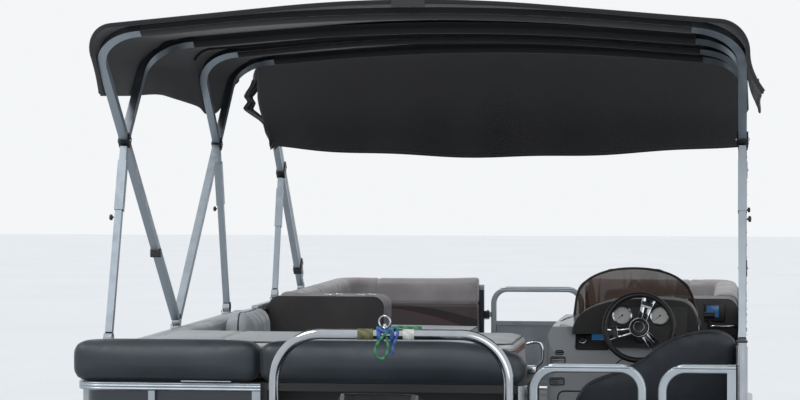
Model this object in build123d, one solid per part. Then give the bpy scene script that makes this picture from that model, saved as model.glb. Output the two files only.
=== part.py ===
"""A 23 ft pontoon boat with a stern sundeck, two bimini tops and an outboard tilted up.

Millimetres. X runs to starboard, Y to the bow and Z up from the keels that it stands on.
Lengths along the boat are measured from the middle of the deck, heights in the cockpit
from the top of the deck, and every piece is moved ahead by DECK_MIDDLE_Y at the end, so that
the origin lies under the middle of the whole boat.
"""

from build123d import *
from math import asin, atan2, cos, degrees, hypot, radians, sin, sqrt, tan
import os

os.makedirs("parts", exist_ok=True)

# Whole boat
DECK_MIDDLE_Y = 682.0
DECK_LENGTH = 7020.0
DECK_WIDTH = 2530.0
DECK_THICK = 25.0
DECK_CORNER_STERN = 60.0
DECK_CORNER_BOW = 260.0
SEAT_GAP = 0.3

# Pontoons and what carries the deck on them
TUBE_RADIUS = 317.5
TUBE_SPACING = 1880.0
TUBE_STERN_INSET = 20.0
TUBE_STRAIGHT = 6060.0
KEEL_WIDTH = 70.0
KEEL_HEIGHT = 12.0
RISER_HEIGHT = 78.0
RISER_WIDTH = 170.0
RISER_WALL = 6.0
CHANNEL_HEIGHT = 100.0
CHANNEL_WIDTH = 50.0
CHANNEL_WALL = 6.0
CHANNEL_COUNT = 12
CHANNEL_INSET = 15.0
TRIM_THICK = 30.0
TRIM_LIP = 12.0
TRIM_HEIGHT = 118.0

TUBE_Z = KEEL_HEIGHT + TUBE_RADIUS
RISER_BASE = KEEL_HEIGHT + 2 * TUBE_RADIUS
CHANNEL_BASE = RISER_BASE + RISER_HEIGHT
DECK_BASE = CHANNEL_BASE + CHANNEL_HEIGHT
DECK = DECK_BASE + DECK_THICK
BOW_EDGE = DECK_LENGTH / 2
STERN_EDGE = -DECK_LENGTH / 2

# Motor pod and transom
POD_WIDTH = 660.0
POD_LENGTH = 1100.0
POD_BEHIND_DECK = 250.0
POD_BASE_Z = 330.0
TRANSOM_WIDTH = 600.0
TRANSOM_THICK = 44.0
TRANSOM_TOP_Z = 805.0
TILT_ABOVE_TRANSOM = 55.0
TILT_BEHIND_DECK = 360.0
COWL_ABOVE_TILT = 66.0
TRANSOM_BASE_Z = 300.0

# Fences: heights above the deck, plan places of the rail's centre line
RAIL = 32.0
RAIL_ROUND = 6.0
POST = 25.0
SHEET = 3.0
SIDE_TOP = 670.0
STERN_TOP = 575.0
BOTTOM_RAIL_Z = 36.0
FENCE_X = 1240.0
FENCE_STERN_Y = -3060.0
FENCE_BOW_Y = 3060.0
BOW_BEND = 300.0
STERN_BEND = 90.0
SECTION_GAP = 4.0
STERN_RETURN = 170.0
SUNDECK_RIGHT_X = 447.0
PAD_THICK = 158.0
PAD_LEDGE = 50.0
SIDE_PAD_THICK = 112.0
STERN_PORT_END_X = -541.0

# Gates: opening edges are the inner faces of the posts
GATE_TOP = 660.0
GATE_BEND = 85.0
GATE_MID_Z = 440.0
GATE_LOW_Z = 60.0
GATE_FREE_GAP = 8.0
BOW_GATE_HALF = 304.0
STERN_GATE_LEFT = 455.0
STERN_GATE_RIGHT = 935.0
SIDE_GATE_AFT = -150.0
SIDE_GATE_FORE = 550.0
HINGE_REACH = 21.0
HINGE_PIN_R = 6.0
HINGE_SLEEVE_R = 11.0
HINGE_SLEEVE = 40.0
HINGE_FIT = 0.08
HINGE_HEIGHTS = (170.0, 470.0)
STOP_POST_R = 21.0
STOP_POST_TOP = 742.0

# Tow bar
TOW_R = 19.0
TOW_HALF = 421.0
TOW_TOP = 787.0
TOW_BEND = 170.0
TOW_INSET = 55.0
TOW_Y = STERN_EDGE + TOW_INSET
TOW_FOOT_R = 45.0
TOW_FOOT = 8.0

# Outboard, drawn upright and then tilted up about its tilt axis
TILT_REST = 60.0
TILT_Y = STERN_EDGE - TILT_BEHIND_DECK
TILT_Z = TRANSOM_TOP_Z + TILT_ABOVE_TRANSOM
TILT_TUBE_R = 18.0
STEER_BEHIND = 68.0
STEER_SHAFT_R = 15.0
STEER_TUBE_R = 36.0
STEER_ARM = 30.0
PLATE_Z = 280.0
PROP_Z = 80.0
PROP_R = 168.0
PROP_HUB_R = 46.0
PROP_BLADES = 3
BLADE_PITCH = -56.0
BLADE_THICK = 8.0
STEER_LOW_Z = 560.0
COWL_BASE = TILT_Z + COWL_ABOVE_TILT
COWL_HEIGHT = 500.0
COWL_WIDTH = 380.0
COWL_LENGTH = 560.0
COWL_AHEAD = 62.0
COWL_ROUND = 120.0

# Seating: heights above the deck
BASE_TOP = 330.0
SEAT_TOP = 440.0
BASE_OUT_X = 1215.0
BASE_IN_X = 650.0
BACK_THICK = 135.0
BENCH_BACK_TOP = 690.0
LOUNGE_BACK_TOP = 716.0

LOUNGE_AFT = 820.0
POD_ARM = 300.0
POD_TOP = 707.0
POD_ROUND = 58.0
POD_CUP_X = 720.0
POD_CUP_STEP = 175.0
CUP_R = 44.0
CUP_DEPTH = 70.0

# Helm: the bench, the console and what is on it
HELM_SEAT_X = (560.0, 1215.0)
HELM_SEAT_Y = -1990.0
HELM_SEAT_DEPTH = 580.0
HELM_BACK_THICK = 110.0
HELM_BACK_TOP = 707.0
CONSOLE_X = (330.0, 1040.0)
CONSOLE_PORT_ROUND = 135.0
CONSOLE_ROUND = 75.0
CONSOLE_AFT = -450.0
CONSOLE_FORE = 190.0
DASH_X = (632.0, 985.0)
GAUGE_X = (685.0, 860.0)
GAUGE_R = 44.5
RADIO_X = 545.0
RADIO_WIDTH = 150.0
RADIO_HEIGHT = 84.0
SCREEN_X = (425.0, 1045.0)
SCREEN_AFT = -170.0
SCREEN_FORE = 120.0
SCREEN_TOP = 886.0
SCREEN_THICK = 5.0
WHEEL_R = 171.0
RIM_R = 14.0
HUB_R = 44.0
WHEEL_HUB = 36.0
WHEEL_SHAFT_R = 9.0
WHEEL_STANDOFF = 26.0
WHEEL_TILT = 20.0
HELM_WHEEL = Vector(769.0, -620.0, DECK + 645.0)
HELM_AXIS = Vector(0, cos(radians(WHEEL_TILT)), -sin(radians(WHEEL_TILT)))
THROTTLE_Y = -300.0
THROTTLE_Z = 540.0

# Outboard drive shaft
PROP_SHAFT_R = 15.0
PROP_HUB = 110.0
PROP_BACK = 250.0

# Tops of both biminis: places along the boat and heights above the deck
BOW_TUBE = 33.0
BRACE_TUBE = 28.0
SLEEVE_TUBE = 35.0
SLEEVE_INSET = 60.0
SLEEVE_LENGTH = 210.0
BOW_CORNER = 200.0
CROWN_RADIUS = 6000.0
CROWN_DROP = 105.0
CROWN_Z = 1995.0
FOOT_R = 26.0
FOOT_PAD = 6.0
FOOT_Z = SIDE_TOP + FOOT_PAD + FOOT_R
CLAMP_WALL = 6.0
CLAMP_LENGTH = 44.0
TOP_FOOT_Y = -1320.0
TOP_AFT_CROWN = (-2930.0, CROWN_Z)
TOP_AUX_AFT = (-1750.0, CROWN_Z)
TOP_AUX_FORE = (-950.0, CROWN_Z)
TOP_FORE_CROWN = (170.0, CROWN_Z)
KNEE_Z = 1490.0
BRACE_FOOT_AFT = -2580.0
BRACE_FOOT_FORE = -180.0
CANVAS = 5.0
CANVAS_CORNER = 136.0
CANOPY_OVERHANG = 34.0
SKIRT_LOW = 1620.0

# The second top, folded back
FOLD_FOOT_Y = 1980.0
FOLD_CROWN = (700.0, 1985.0)
FOLD_STEP = 38.0
FOLD_START = 60.0
FOLD_KNEE_Z = 1350.0
FOLD_BRACE_FOOT = 1140.0
CURTAIN_BEHIND = 80.0
CURTAIN_THICK = 14.0
CURTAIN_LOW = 1450.0
FLAP_LOW = 1670.0
COVER_DEPTH = 210.0

# The light socket on the canopy
LIGHT_BORE_R = 8.0
LIGHT_BORE = 30.0


def box(x0, x1, y0, y1, z0, z1):
    """A block between two corners."""
    size = (x1 - x0, y1 - y0, z1 - z0)
    return Pos((x0 + x1) / 2, (y0 + y1) / 2, (z0 + z1) / 2) * Box(*size)


def rod(start, end, radius):
    """A round bar from one point to another."""
    axis = Vector(*end) - Vector(*start)
    plane = Plane(origin=start, z_dir=axis)
    return extrude(plane * Circle(radius), amount=axis.length)


def bar(start, end, width, height):
    """A rectangular bar between two points, its width across and its height nearly upright."""
    axis = Vector(*end) - Vector(*start)
    side = Vector(1, 0, 0) if abs(axis.X) < 0.9 * axis.length else Vector(0, 1, 0)
    plane = Plane(origin=start, x_dir=side - axis * (side.dot(axis) / axis.dot(axis)), z_dir=axis)
    return extrude(plane * Rectangle(width, height), amount=axis.length)


def plan(points, low, high):
    """A plan outline raised between two heights."""
    outline = make_face(Polyline(*points, close=True))
    return Pos(0, 0, low) * extrude(outline, amount=high - low)


def side_view(points, x0, x1):
    """An outline of lengths and heights, carried across the boat from x0 to x1."""
    outline = make_face(Polyline(*points, close=True))
    plane = Plane(origin=(x0, 0, 0), x_dir=(0, 1, 0), z_dir=(1, 0, 0))
    return extrude(plane * outline, amount=x1 - x0)


def stern_view(points, y0, y1):
    """An outline of widths and heights, carried along the boat from y0 to y1."""
    outline = make_face(Polyline(*points, close=True))
    plane = Plane(origin=(0, y1, 0), x_dir=(1, 0, 0), z_dir=(0, -1, 0))
    return extrude(plane * outline, amount=y1 - y0)


def mirrored(shape):
    """The same piece on the other side of the boat."""
    return mirror(shape, about=Plane.YZ)


def write(name, *solids):
    """Move the solids of one sub-part to the boat's frame and write them."""
    moved = [Pos(0, DECK_MIDDLE_Y, 0) * solid for shape in solids for solid in shape.solids()]
    shape = moved[0] if len(moved) == 1 else Compound(children=moved)
    export_step(shape, f"parts/{name}.step")
    print(name, len(moved), [round(v) for v in shape.bounding_box().size])


# Hull


def pontoon(side):
    """A tube with a flat stern cap, a nose that sweeps up to the bow, and a keel strip."""
    x = side * TUBE_SPACING / 2
    stern = STERN_EDGE + TUBE_STERN_INSET
    straight_end = stern + TUBE_STRAIGHT
    # columns: length past the straight part, radius, rise of the centre
    nose = ((0.0, TUBE_RADIUS, 0.0), (430.0, 225.0, 92.5), (760.0, 60.0, 225.0))
    tube = rod((x, stern, TUBE_Z), (x, straight_end, TUBE_Z), TUBE_RADIUS)
    rings = []
    for ahead, radius, rise in nose:
        plane = Plane(origin=(x, straight_end + ahead, TUBE_Z + rise), z_dir=(0, 1, 0))
        rings.append(plane * Circle(radius))
    keel = box(x - KEEL_WIDTH / 2, x + KEEL_WIDTH / 2, stern + 60, straight_end - 60, 0, KEEL_HEIGHT + 14)
    return tube + loft(rings, ruled=True) + keel


def riser(side):
    """A folded channel, upside down, whose two legs stand on the tube along its length."""
    x = side * TUBE_SPACING / 2
    y0 = STERN_EDGE + 130
    y1 = y0 + TUBE_STRAIGHT
    half = RISER_WIDTH / 2
    low = TUBE_Z + sqrt(TUBE_RADIUS**2 - half**2) - 20
    outer = box(x - half, x + half, y0, y1, low, CHANNEL_BASE)
    inner = box(x - half + RISER_WALL, x + half - RISER_WALL, y0, y1, low, CHANNEL_BASE - RISER_WALL)
    tube = rod((x, y0 - 10, TUBE_Z), (x, y1 + 10, TUBE_Z), TUBE_RADIUS)
    return outer - inner - tube


def cross_channel(y):
    """One C channel across both risers, open towards the stern."""
    half = DECK_WIDTH / 2 - CHANNEL_INSET
    w = CHANNEL_WALL
    outer = box(-half, half, y, y + CHANNEL_WIDTH, CHANNEL_BASE, DECK_BASE)
    channel = outer - box(-half, half, y, y + CHANNEL_WIDTH - w, CHANNEL_BASE + w, DECK_BASE - w)
    room = Pos(0, 0, CHANNEL_BASE) * extrude(deck_plan(-CHANNEL_INSET), amount=CHANNEL_HEIGHT)
    return channel & room


def deck_plan(grow):
    """The deck's plan, grown by a margin, with large corners at the bow."""
    half = DECK_WIDTH / 2 + grow
    front = BOW_EDGE + grow
    back = STERN_EDGE - grow
    outline = Polyline((-half, back), (half, back), (half, front), (-half, front), close=True)
    face = make_face(outline)
    bow = [v for v in face.vertices() if v.Y > 0]
    face = fillet(bow, DECK_CORNER_BOW + grow)
    stern = [v for v in face.vertices() if v.Y < back + 1]
    return fillet(stern, DECK_CORNER_STERN + grow)


def deck():
    """The plywood deck under its vinyl."""
    return Pos(0, 0, DECK_BASE) * extrude(deck_plan(0), amount=DECK_THICK)


def deck_trim():
    """The aluminium edge round the deck, with a lip above it and the cross channels' ends inside."""
    band = extrude(deck_plan(TRIM_THICK) - deck_plan(0), amount=TRIM_HEIGHT)
    groove_low = 30.0
    groove_high = 62.0
    groove = extrude(deck_plan(TRIM_THICK) - deck_plan(TRIM_THICK - 9), amount=groove_high - groove_low)
    return Pos(0, 0, DECK + TRIM_LIP - TRIM_HEIGHT) * (band - Pos(0, 0, groove_low) * groove)


def motor_pod():
    """The pod between the tubes: a raised bow, side chines and the transom that the motor hangs on."""
    back = STERN_EDGE - POD_BEHIND_DECK
    front = back + POD_LENGTH
    half = POD_WIDTH / 2
    top = CHANNEL_BASE
    side = [(back, POD_BASE_Z), (front - 380, POD_BASE_Z), (front, top - 90), (front, top), (back, top)]
    body = side_view(side, -half, half)
    chine = [(-half, top), (-half, top - 190), (-half + 210, POD_BASE_Z), (half - 210, POD_BASE_Z),
             (half, top - 190), (half, top)]
    body = body & stern_view(chine, back - 10, front + 10)
    behind = [(-TRANSOM_WIDTH / 2, TRANSOM_TOP_Z), (-TRANSOM_WIDTH / 2, top - 160),
              (-TRANSOM_WIDTH / 2 + 180, TRANSOM_BASE_Z), (TRANSOM_WIDTH / 2 - 180, TRANSOM_BASE_Z),
              (TRANSOM_WIDTH / 2, top - 160), (TRANSOM_WIDTH / 2, TRANSOM_TOP_Z)]
    return body + stern_view(behind, back - TRANSOM_THICK, back)


# Fences


def run_plane(path, where=0.0):
    """The plane across a run of fence: its x is up and its y outward, on the right of the run."""
    point = path.position_at(where)
    return Plane(origin=(point.X, point.Y, 0), x_dir=(0, 0, 1), z_dir=path.tangent_at(where))


def rail(path, height, size=RAIL):
    """A square rail with rounded corners along a run of fence."""
    section = run_plane(path) * Pos(height, 0) * RectangleRounded(size, size, RAIL_ROUND)
    return sweep(section, path=path)


def run_path(points, bend):
    """The centre line of a run of fence, counter-clockwise round the deck."""
    if len(points) == 2:
        return Line(*points)
    return FilletPolyline(*points, radius=bend)


def fence(points, bend, top, posts):
    """The frame of a run: top and bottom rails and evenly spaced posts, welded together."""
    path = run_path(points, bend)
    length = path.length
    inset = RAIL / 2
    frame = rail(path, DECK + top - RAIL / 2) + rail(path, DECK + BOTTOM_RAIL_Z)
    for index in range(posts):
        where = (inset + (length - 2 * inset) * index / (posts - 1)) / length
        point = path.position_at(where)
        angle = degrees(atan2(path.tangent_at(where).Y, path.tangent_at(where).X))
        size = RAIL if index in (0, posts - 1) else POST
        upright = Pos(point.X, point.Y, DECK + (top - 6) / 2) * Rot(0, 0, angle) * Box(size, size, top - 6)
        frame += upright
    return frame


def fence_panel(points, bend, top):
    """The sheet riveted to the inside of a run, so that its posts show outside."""
    path = run_path(points, bend)
    low = BOTTOM_RAIL_Z - 4
    high = top - RAIL + 2
    section = run_plane(path) * Pos(DECK + (low + high) / 2, -RAIL / 2 - SHEET / 2)
    return sweep(section * Rectangle(high - low, SHEET), path=path)


def hinge_lug(x, y, reach_x, reach_y):
    """The fixed half of a gate's hinges: lugs on the post face with a pin standing on each."""
    lugs = None
    for height in HINGE_HEIGHTS:
        z = DECK + height
        px = x + reach_x
        py = y + reach_y
        wide = HINGE_SLEEVE_R
        lug = box(min(x, px) - (0 if reach_x else wide), max(x, px) + (0 if reach_x else wide),
                  min(y, py) - (0 if reach_y else wide), max(y, py) + (0 if reach_y else wide), z - 8, z)
        lug += rod((px, py, z - 8), (px, py, z), HINGE_SLEEVE_R)
        lug += rod((px, py, z - 8), (px, py, z + HINGE_SLEEVE + 8), HINGE_PIN_R)
        lugs = lug if lugs is None else lugs + lug
    return lugs


def gate(width, top=GATE_TOP, mid=GATE_MID_Z):
    """A gate along +X from its hinge axis, which is at X 0: arch, mid and low rails, sheet and sleeves."""
    near = HINGE_REACH + RAIL / 2
    far = width - RAIL / 2
    low = DECK + GATE_LOW_Z
    high = DECK + top - RAIL / 2
    points = [(near, 0, low), (near, 0, high), (far, 0, high), (far, 0, low)]
    path = FilletPolyline(*points, radius=GATE_BEND)
    section = Plane(origin=points[0], x_dir=(1, 0, 0), z_dir=(0, 0, 1)) * RectangleRounded(RAIL, RAIL, RAIL_ROUND)
    frame = sweep(section, path=path)
    for height in (low + RAIL / 2, DECK + mid):
        frame += box(near, far, -POST / 2, POST / 2, height - POST / 2, height + POST / 2)
    frame += box(near, far, RAIL / 2 - SHEET, RAIL / 2, low + 6, DECK + mid)
    for height in HINGE_HEIGHTS:
        z = DECK + height + SEAT_GAP
        sleeve = rod((0, 0, z), (0, 0, z + HINGE_SLEEVE), HINGE_SLEEVE_R)
        arm = box(0, near, -7, 7, z + 6, z + HINGE_SLEEVE - 6)
        frame += sleeve + arm
        frame -= rod((0, 0, z - 1), (0, 0, z + HINGE_SLEEVE + 1), HINGE_PIN_R + HINGE_FIT)
    return frame


# Runs of fence, counter-clockwise: plan points of the rail, bend, top and posts
BOW_GATE_POST = BOW_GATE_HALF + RAIL / 2
SIDE_RUN_AFT = FENCE_STERN_Y + STERN_RETURN + SECTION_GAP
FENCES = {
    "bow_port": (((-BOW_GATE_HALF, FENCE_BOW_Y), (-FENCE_X, FENCE_BOW_Y), (-FENCE_X, SIDE_GATE_FORE)),
                 BOW_BEND, SIDE_TOP, 7),
    "port_side": (((-FENCE_X, SIDE_GATE_AFT), (-FENCE_X, SIDE_RUN_AFT)), 0, SIDE_TOP, 5),
    "stern_port": (((-FENCE_X, SIDE_RUN_AFT - SECTION_GAP), (-FENCE_X, FENCE_STERN_Y),
                    (STERN_PORT_END_X, FENCE_STERN_Y)), STERN_BEND, STERN_TOP, 3),
    "starboard": (((FENCE_X, FENCE_STERN_Y + STOP_POST_R + 18), (FENCE_X, FENCE_BOW_Y),
                   (BOW_GATE_HALF, FENCE_BOW_Y)), BOW_BEND, SIDE_TOP, 13),
}


def stern_starboard():
    """The short fixed section between the stern gate and the corner, one top corner rounded."""
    left = STERN_GATE_RIGHT + RAIL / 2
    right = FENCE_X - STOP_POST_R - RAIL / 2 - SEAT_GAP
    high = DECK + GATE_TOP - RAIL / 2
    points = [(left, FENCE_STERN_Y, DECK), (left, FENCE_STERN_Y, high), (right, FENCE_STERN_Y, high)]
    path = FilletPolyline(*points, radius=GATE_BEND)
    section = Plane(origin=points[0], x_dir=(1, 0, 0), z_dir=(0, 0, 1)) * RectangleRounded(RAIL, RAIL, RAIL_ROUND)
    frame = sweep(section, path=path)
    y0 = FENCE_STERN_Y - RAIL / 2
    y1 = FENCE_STERN_Y + RAIL / 2
    frame += box(right - RAIL / 2, right + RAIL / 2, y0, y1, DECK, high + RAIL / 2)
    for height in (DECK + BOTTOM_RAIL_Z, DECK + GATE_MID_Z):
        frame += box(left, right, y0, y1, height - RAIL / 2, height + RAIL / 2)
    frame += box(left, right, y0, y0 + SHEET, DECK + BOTTOM_RAIL_Z, DECK + GATE_MID_Z)
    return frame + hinge_lug(STERN_GATE_RIGHT, FENCE_STERN_Y, -HINGE_REACH, 0)


def corner_post():
    """The fat round post at the starboard stern corner with its foot and rubber cap."""
    x, y = FENCE_X, FENCE_STERN_Y
    upright = rod((x, y, DECK), (x, y, DECK + STOP_POST_TOP - 14), STOP_POST_R)
    cap = rod((x, y, DECK + STOP_POST_TOP - 14), (x, y, DECK + STOP_POST_TOP), STOP_POST_R - 3)
    return upright + cap


def latch_post():
    """The short square post under the bolster that the stern gate latches to."""
    half = RAIL / 2
    x = STERN_GATE_LEFT - half
    y = FENCE_STERN_Y
    return box(x - half, x + half, y - half, y + half, DECK, DECK + STERN_TOP)


def tow_bar():
    """The polished arch behind the sundeck: one bent tube on two round feet, with a tow eye on top."""
    low = DECK + TOW_FOOT
    points = [(-TOW_HALF, TOW_Y, low), (-TOW_HALF, TOW_Y, DECK + TOW_TOP),
              (TOW_HALF, TOW_Y, DECK + TOW_TOP), (TOW_HALF, TOW_Y, low)]
    path = FilletPolyline(*points, radius=TOW_BEND)
    section = Plane(origin=points[0], x_dir=(1, 0, 0), z_dir=(0, 0, 1)) * Circle(TOW_R)
    arch = sweep(section, path=path)
    for side in (-1, 1):
        arch += rod((side * TOW_HALF, TOW_Y, DECK), (side * TOW_HALF, TOW_Y, low), TOW_FOOT_R)
    return arch


# Seating


def soft(shape, radius, edges=None):
    """Round the edges of a cushion."""
    return fillet(edges if edges is not None else shape.edges(), radius)


def build_seats():
    """Every base and cushion, by node name."""
    seats = {}
    stern = FENCE_STERN_Y + RAIL / 2 + 8
    sundeck_front = -2380.0
    top = DECK + STERN_TOP
    # The sundeck's base is a box with a recess under its stern for the tilted cowl.
    base = box(-BASE_OUT_X, SUNDECK_RIGHT_X, stern, sundeck_front, DECK, top)
    recess = box(STERN_PORT_END_X + 20, SUNDECK_RIGHT_X - 20, stern, stern + 240, DECK, top - 30)
    base = fillet(base.edges().filter_by(Axis.Z).sort_by(lambda e: e.center().X + e.center().Y)[0], STERN_BEND - RAIL / 2 - 9)
    seats["sundeck_base"] = base - recess
    pad_low = top
    pad_top = top + PAD_THICK
    pad = soft(box(-BASE_OUT_X + 185, SUNDECK_RIGHT_X - PAD_LEDGE, stern + 125, sundeck_front, pad_low, pad_top), 30)
    side_pad = soft(box(-BASE_OUT_X, -BASE_OUT_X + 180, stern + 125, sundeck_front, pad_low, top + SIDE_PAD_THICK), 30)
    seats["sun_pad"] = [pad, side_pad]
    bolster_front = stern + 120
    aft = FENCE_STERN_Y - RAIL / 2
    port = box(-FENCE_X - 24, -556, aft, bolster_front, top, top + PAD_THICK)
    centre = box(-550, SUNDECK_RIGHT_X, aft, bolster_front, top, top + PAD_THICK)
    seats["aft_bolsters"] = [soft(port, 50), soft(centre, 50)]

    bench_fore = SIDE_GATE_AFT - 40
    out = -BASE_OUT_X
    inner = -BASE_IN_X
    back_in = out + BACK_THICK
    seats["port_bench_base"] = box(out, inner, sundeck_front + 4, bench_fore, DECK, DECK + BASE_TOP)
    seats["port_bench_seat"] = soft(box(back_in + 3, inner, sundeck_front + 4, bench_fore, DECK + BASE_TOP, DECK + SEAT_TOP), 25)
    profile = [(out, DECK + BASE_TOP), (back_in, DECK + BASE_TOP), (back_in - 20, DECK + BENCH_BACK_TOP), (out, DECK + BENCH_BACK_TOP)]
    seats["port_bench_back"] = soft(stern_view(profile, sundeck_front + 4, bench_fore), 22)
    return seats


def build_lounge(side):
    """One bow lounge: an L in plan with a cup holder pod at its stern end, for either side."""
    out = BASE_OUT_X
    aft = LOUNGE_AFT
    bow = FENCE_BOW_Y - RAIL / 2 - 8
    inner = BASE_IN_X - 30
    front_in = BOW_GATE_HALF + 24
    front_aft = bow - 560
    corner = BOW_BEND - RAIL / 2 - 9
    outline = Polyline((out, aft), (out, bow), (front_in, bow), (front_in, front_aft), (inner, front_aft),
                       (inner, aft), close=True)
    face = make_face(outline)
    tip = [v for v in face.vertices() if v.X > out - 1 and v.Y > bow - 1]
    face = fillet(tip, corner)
    nook = [v for v in face.vertices() if abs(v.X - inner) < 1 and abs(v.Y - front_aft) < 1]
    face = fillet(nook, 120)
    base = Pos(0, 0, DECK) * extrude(face, amount=BASE_TOP)
    pod_end = aft + POD_ARM
    pod = box(inner - 12, out, aft, pod_end, DECK + BASE_TOP, DECK + POD_TOP)
    pod = fillet(pod.edges().filter_by(Axis.Y).sort_by(Axis.Z)[-2:], POD_ROUND)
    for index in range(2):
        x = POD_CUP_X + index * POD_CUP_STEP
        z = DECK + POD_TOP
        y = aft + POD_ARM / 2
        pod -= rod((x, y, z - CUP_DEPTH), (x, y, z + 1), CUP_R)
    start = pod_end + 4
    line = FilletPolyline((out - BACK_THICK / 2, start), (out - BACK_THICK / 2, bow - BACK_THICK / 2),
                          (front_in, bow - BACK_THICK / 2), radius=corner - BACK_THICK / 2)
    section = run_plane(line) * Pos(DECK + (BASE_TOP + LOUNGE_BACK_TOP) / 2, 0)
    back = sweep(section * RectangleRounded(LOUNGE_BACK_TOP - BASE_TOP, BACK_THICK, 40), path=line)
    room = sweep(section * Rectangle(LOUNGE_BACK_TOP - BASE_TOP + 60, BACK_THICK + 6), path=line)
    seat = Pos(0, 0, DECK + BASE_TOP) * extrude(face, amount=SEAT_TOP - BASE_TOP)
    seat = seat - room - box(0, out + 1, aft - 1, start, DECK, DECK + SEAT_TOP + 1)
    seat = max(seat.solids(), key=lambda s: s.volume)
    pieces = {"base": base, "seat": seat, "back": back, "pod": pod}
    return {name: (shape if side > 0 else mirrored(shape)) for name, shape in pieces.items()}


def helm_bench():
    """The helm's bench: base, cushion, and a back whose top rises in a sweep to starboard."""
    left, right = HELM_SEAT_X
    aft = HELM_SEAT_Y
    fore = aft + HELM_SEAT_DEPTH
    base = box(left + 20, right, aft, fore, DECK, DECK + BASE_TOP)
    seat = soft(box(left, right, aft + HELM_BACK_THICK, fore, DECK + BASE_TOP, DECK + SEAT_TOP), 28)
    # columns: shares of the width from the port edge, and of the height above the deck
    shares = ((0, 0.566), (0.092, 0.707), (0.275, 0.781), (0.443, 0.866), (0.565, 0.95), (0.733, 1), (0.916, 1), (1, 0.945))
    rise = [((right - left) * across, HELM_BACK_TOP * up) for across, up in shares]
    top = Spline(*[(left + x, DECK + z) for x, z in rise])
    low = Polyline((right, DECK + rise[-1][1]), (right, DECK + BASE_TOP), (left, DECK + BASE_TOP),
                   (left, DECK + rise[0][1]))
    outline = make_face([top, *low.edges()])
    plane = Plane(origin=(0, aft + HELM_BACK_THICK, 0), x_dir=(1, 0, 0), z_dir=(0, -1, 0))
    back = extrude(plane * outline, amount=HELM_BACK_THICK)
    return {"helm_bench_base": base, "helm_bench_seat": seat, "helm_bench_back": back}


# Helm


def console():
    """The moulded console: a raked side profile with round corners in plan and round shoulders."""
    left, right = CONSOLE_X
    side = [(CONSOLE_AFT + 50, DECK), (CONSOLE_AFT, DECK + 70), (CONSOLE_AFT, DECK + 500),
            (CONSOLE_AFT + 70, DECK + 632), (CONSOLE_AFT + 380, DECK + 672), (CONSOLE_FORE, DECK + 600),
            (CONSOLE_FORE - 40, DECK)]
    body = side_view(side, left, right)
    stern = make_face(Polyline((left, DECK), (right, DECK), (right, DECK + 690), (left, DECK + 690), close=True))
    shoulders = sorted([v for v in stern.vertices() if v.Y > DECK + 1], key=lambda v: v.X)
    stern = fillet(shoulders[0], CONSOLE_PORT_ROUND)
    stern = fillet([v for v in stern.vertices() if v.X > right - 1 and v.Y > DECK + 1], CONSOLE_ROUND)
    plane = Plane(origin=(0, CONSOLE_FORE + 10, 0), x_dir=(1, 0, 0), z_dir=(0, -1, 0))
    body = body & extrude(plane * stern, amount=CONSOLE_FORE - CONSOLE_AFT + 20)
    corner = make_face(Polyline((left, CONSOLE_AFT), (right, CONSOLE_AFT), (right, CONSOLE_FORE),
                                (left, CONSOLE_FORE), close=True))
    corner = fillet(corner.vertices(), 70)
    return body & (Pos(0, 0, DECK) * extrude(corner, amount=700))


def dash(body):
    """The black instrument pod on the console, with the steering column standing out of its face."""
    left, right = DASH_X
    aft = CONSOLE_AFT - 14
    side = [(aft, DECK + 545), (aft + 26, DECK + 742), (aft + 190, DECK + 762), (aft + 300, DECK + 690),
            (aft + 300, DECK + 560), (aft + 60, DECK + 540)]
    pod = side_view(side, left, right)
    pod = fillet(pod.edges().filter_by(Axis.X).sort_by(Axis.Z)[-3:], 18)
    low = HELM_WHEEL + HELM_AXIS * WHEEL_STANDOFF
    column = rod(low, HELM_WHEEL + HELM_AXIS * 170, 26)
    shaft = rod(HELM_WHEEL - HELM_AXIS * 4, low + HELM_AXIS * 20, WHEEL_SHAFT_R)
    return (pod + column - body) + shaft


def instruments():
    """Two round gauges on the dash and the radio beside them."""
    aft = CONSOLE_AFT - 14
    face = Plane(origin=(0, aft + 13, DECK + 643.5), x_dir=(1, 0, 0), z_dir=(0, -197, 26))
    pieces = []
    for x in GAUGE_X:
        pieces.append(extrude(face * Pos(x, 20) * Circle(GAUGE_R), amount=7))
    slope = Plane(origin=(RADIO_X, CONSOLE_AFT + 35, DECK + 566), x_dir=(1, 0, 0), z_dir=(0, -132, 70))
    radio = extrude(slope * RectangleRounded(RADIO_WIDTH, RADIO_HEIGHT, 8), amount=6)
    return pieces + [radio]


def windscreen(body, pod):
    """A smoked screen wrapped round the front of the console, its top corners rounded."""
    left, right = SCREEN_X
    middle = (left + right) / 2
    arc = ThreePointArc((left, SCREEN_AFT), (middle, SCREEN_FORE), (right, SCREEN_AFT))
    section = Plane(origin=arc @ 0, x_dir=(0, 0, 1), z_dir=arc % 0)
    height = SCREEN_TOP - 560
    wall = sweep(section * Pos(DECK + 560 + height / 2, 0) * Rectangle(height, SCREEN_THICK), path=arc)
    top = DECK + SCREEN_TOP
    points = [(left, DECK + 540), (left + 30, top - 70), (left + 180, top + 3), (middle + 105, top),
              (right - 62, top - 68), (right + 25, DECK + 540)]
    view = make_face(Polyline(*points, close=True))
    view = fillet([v for v in view.vertices() if v.Y > DECK + 650], 70)
    plane = Plane(origin=(0, SCREEN_FORE + 100, 0), x_dir=(1, 0, 0), z_dir=(0, -1, 0))
    wall = wall & extrude(plane * view, amount=700)
    wall = wall - body - pod
    return max(wall.solids(), key=lambda s: s.volume)


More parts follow.
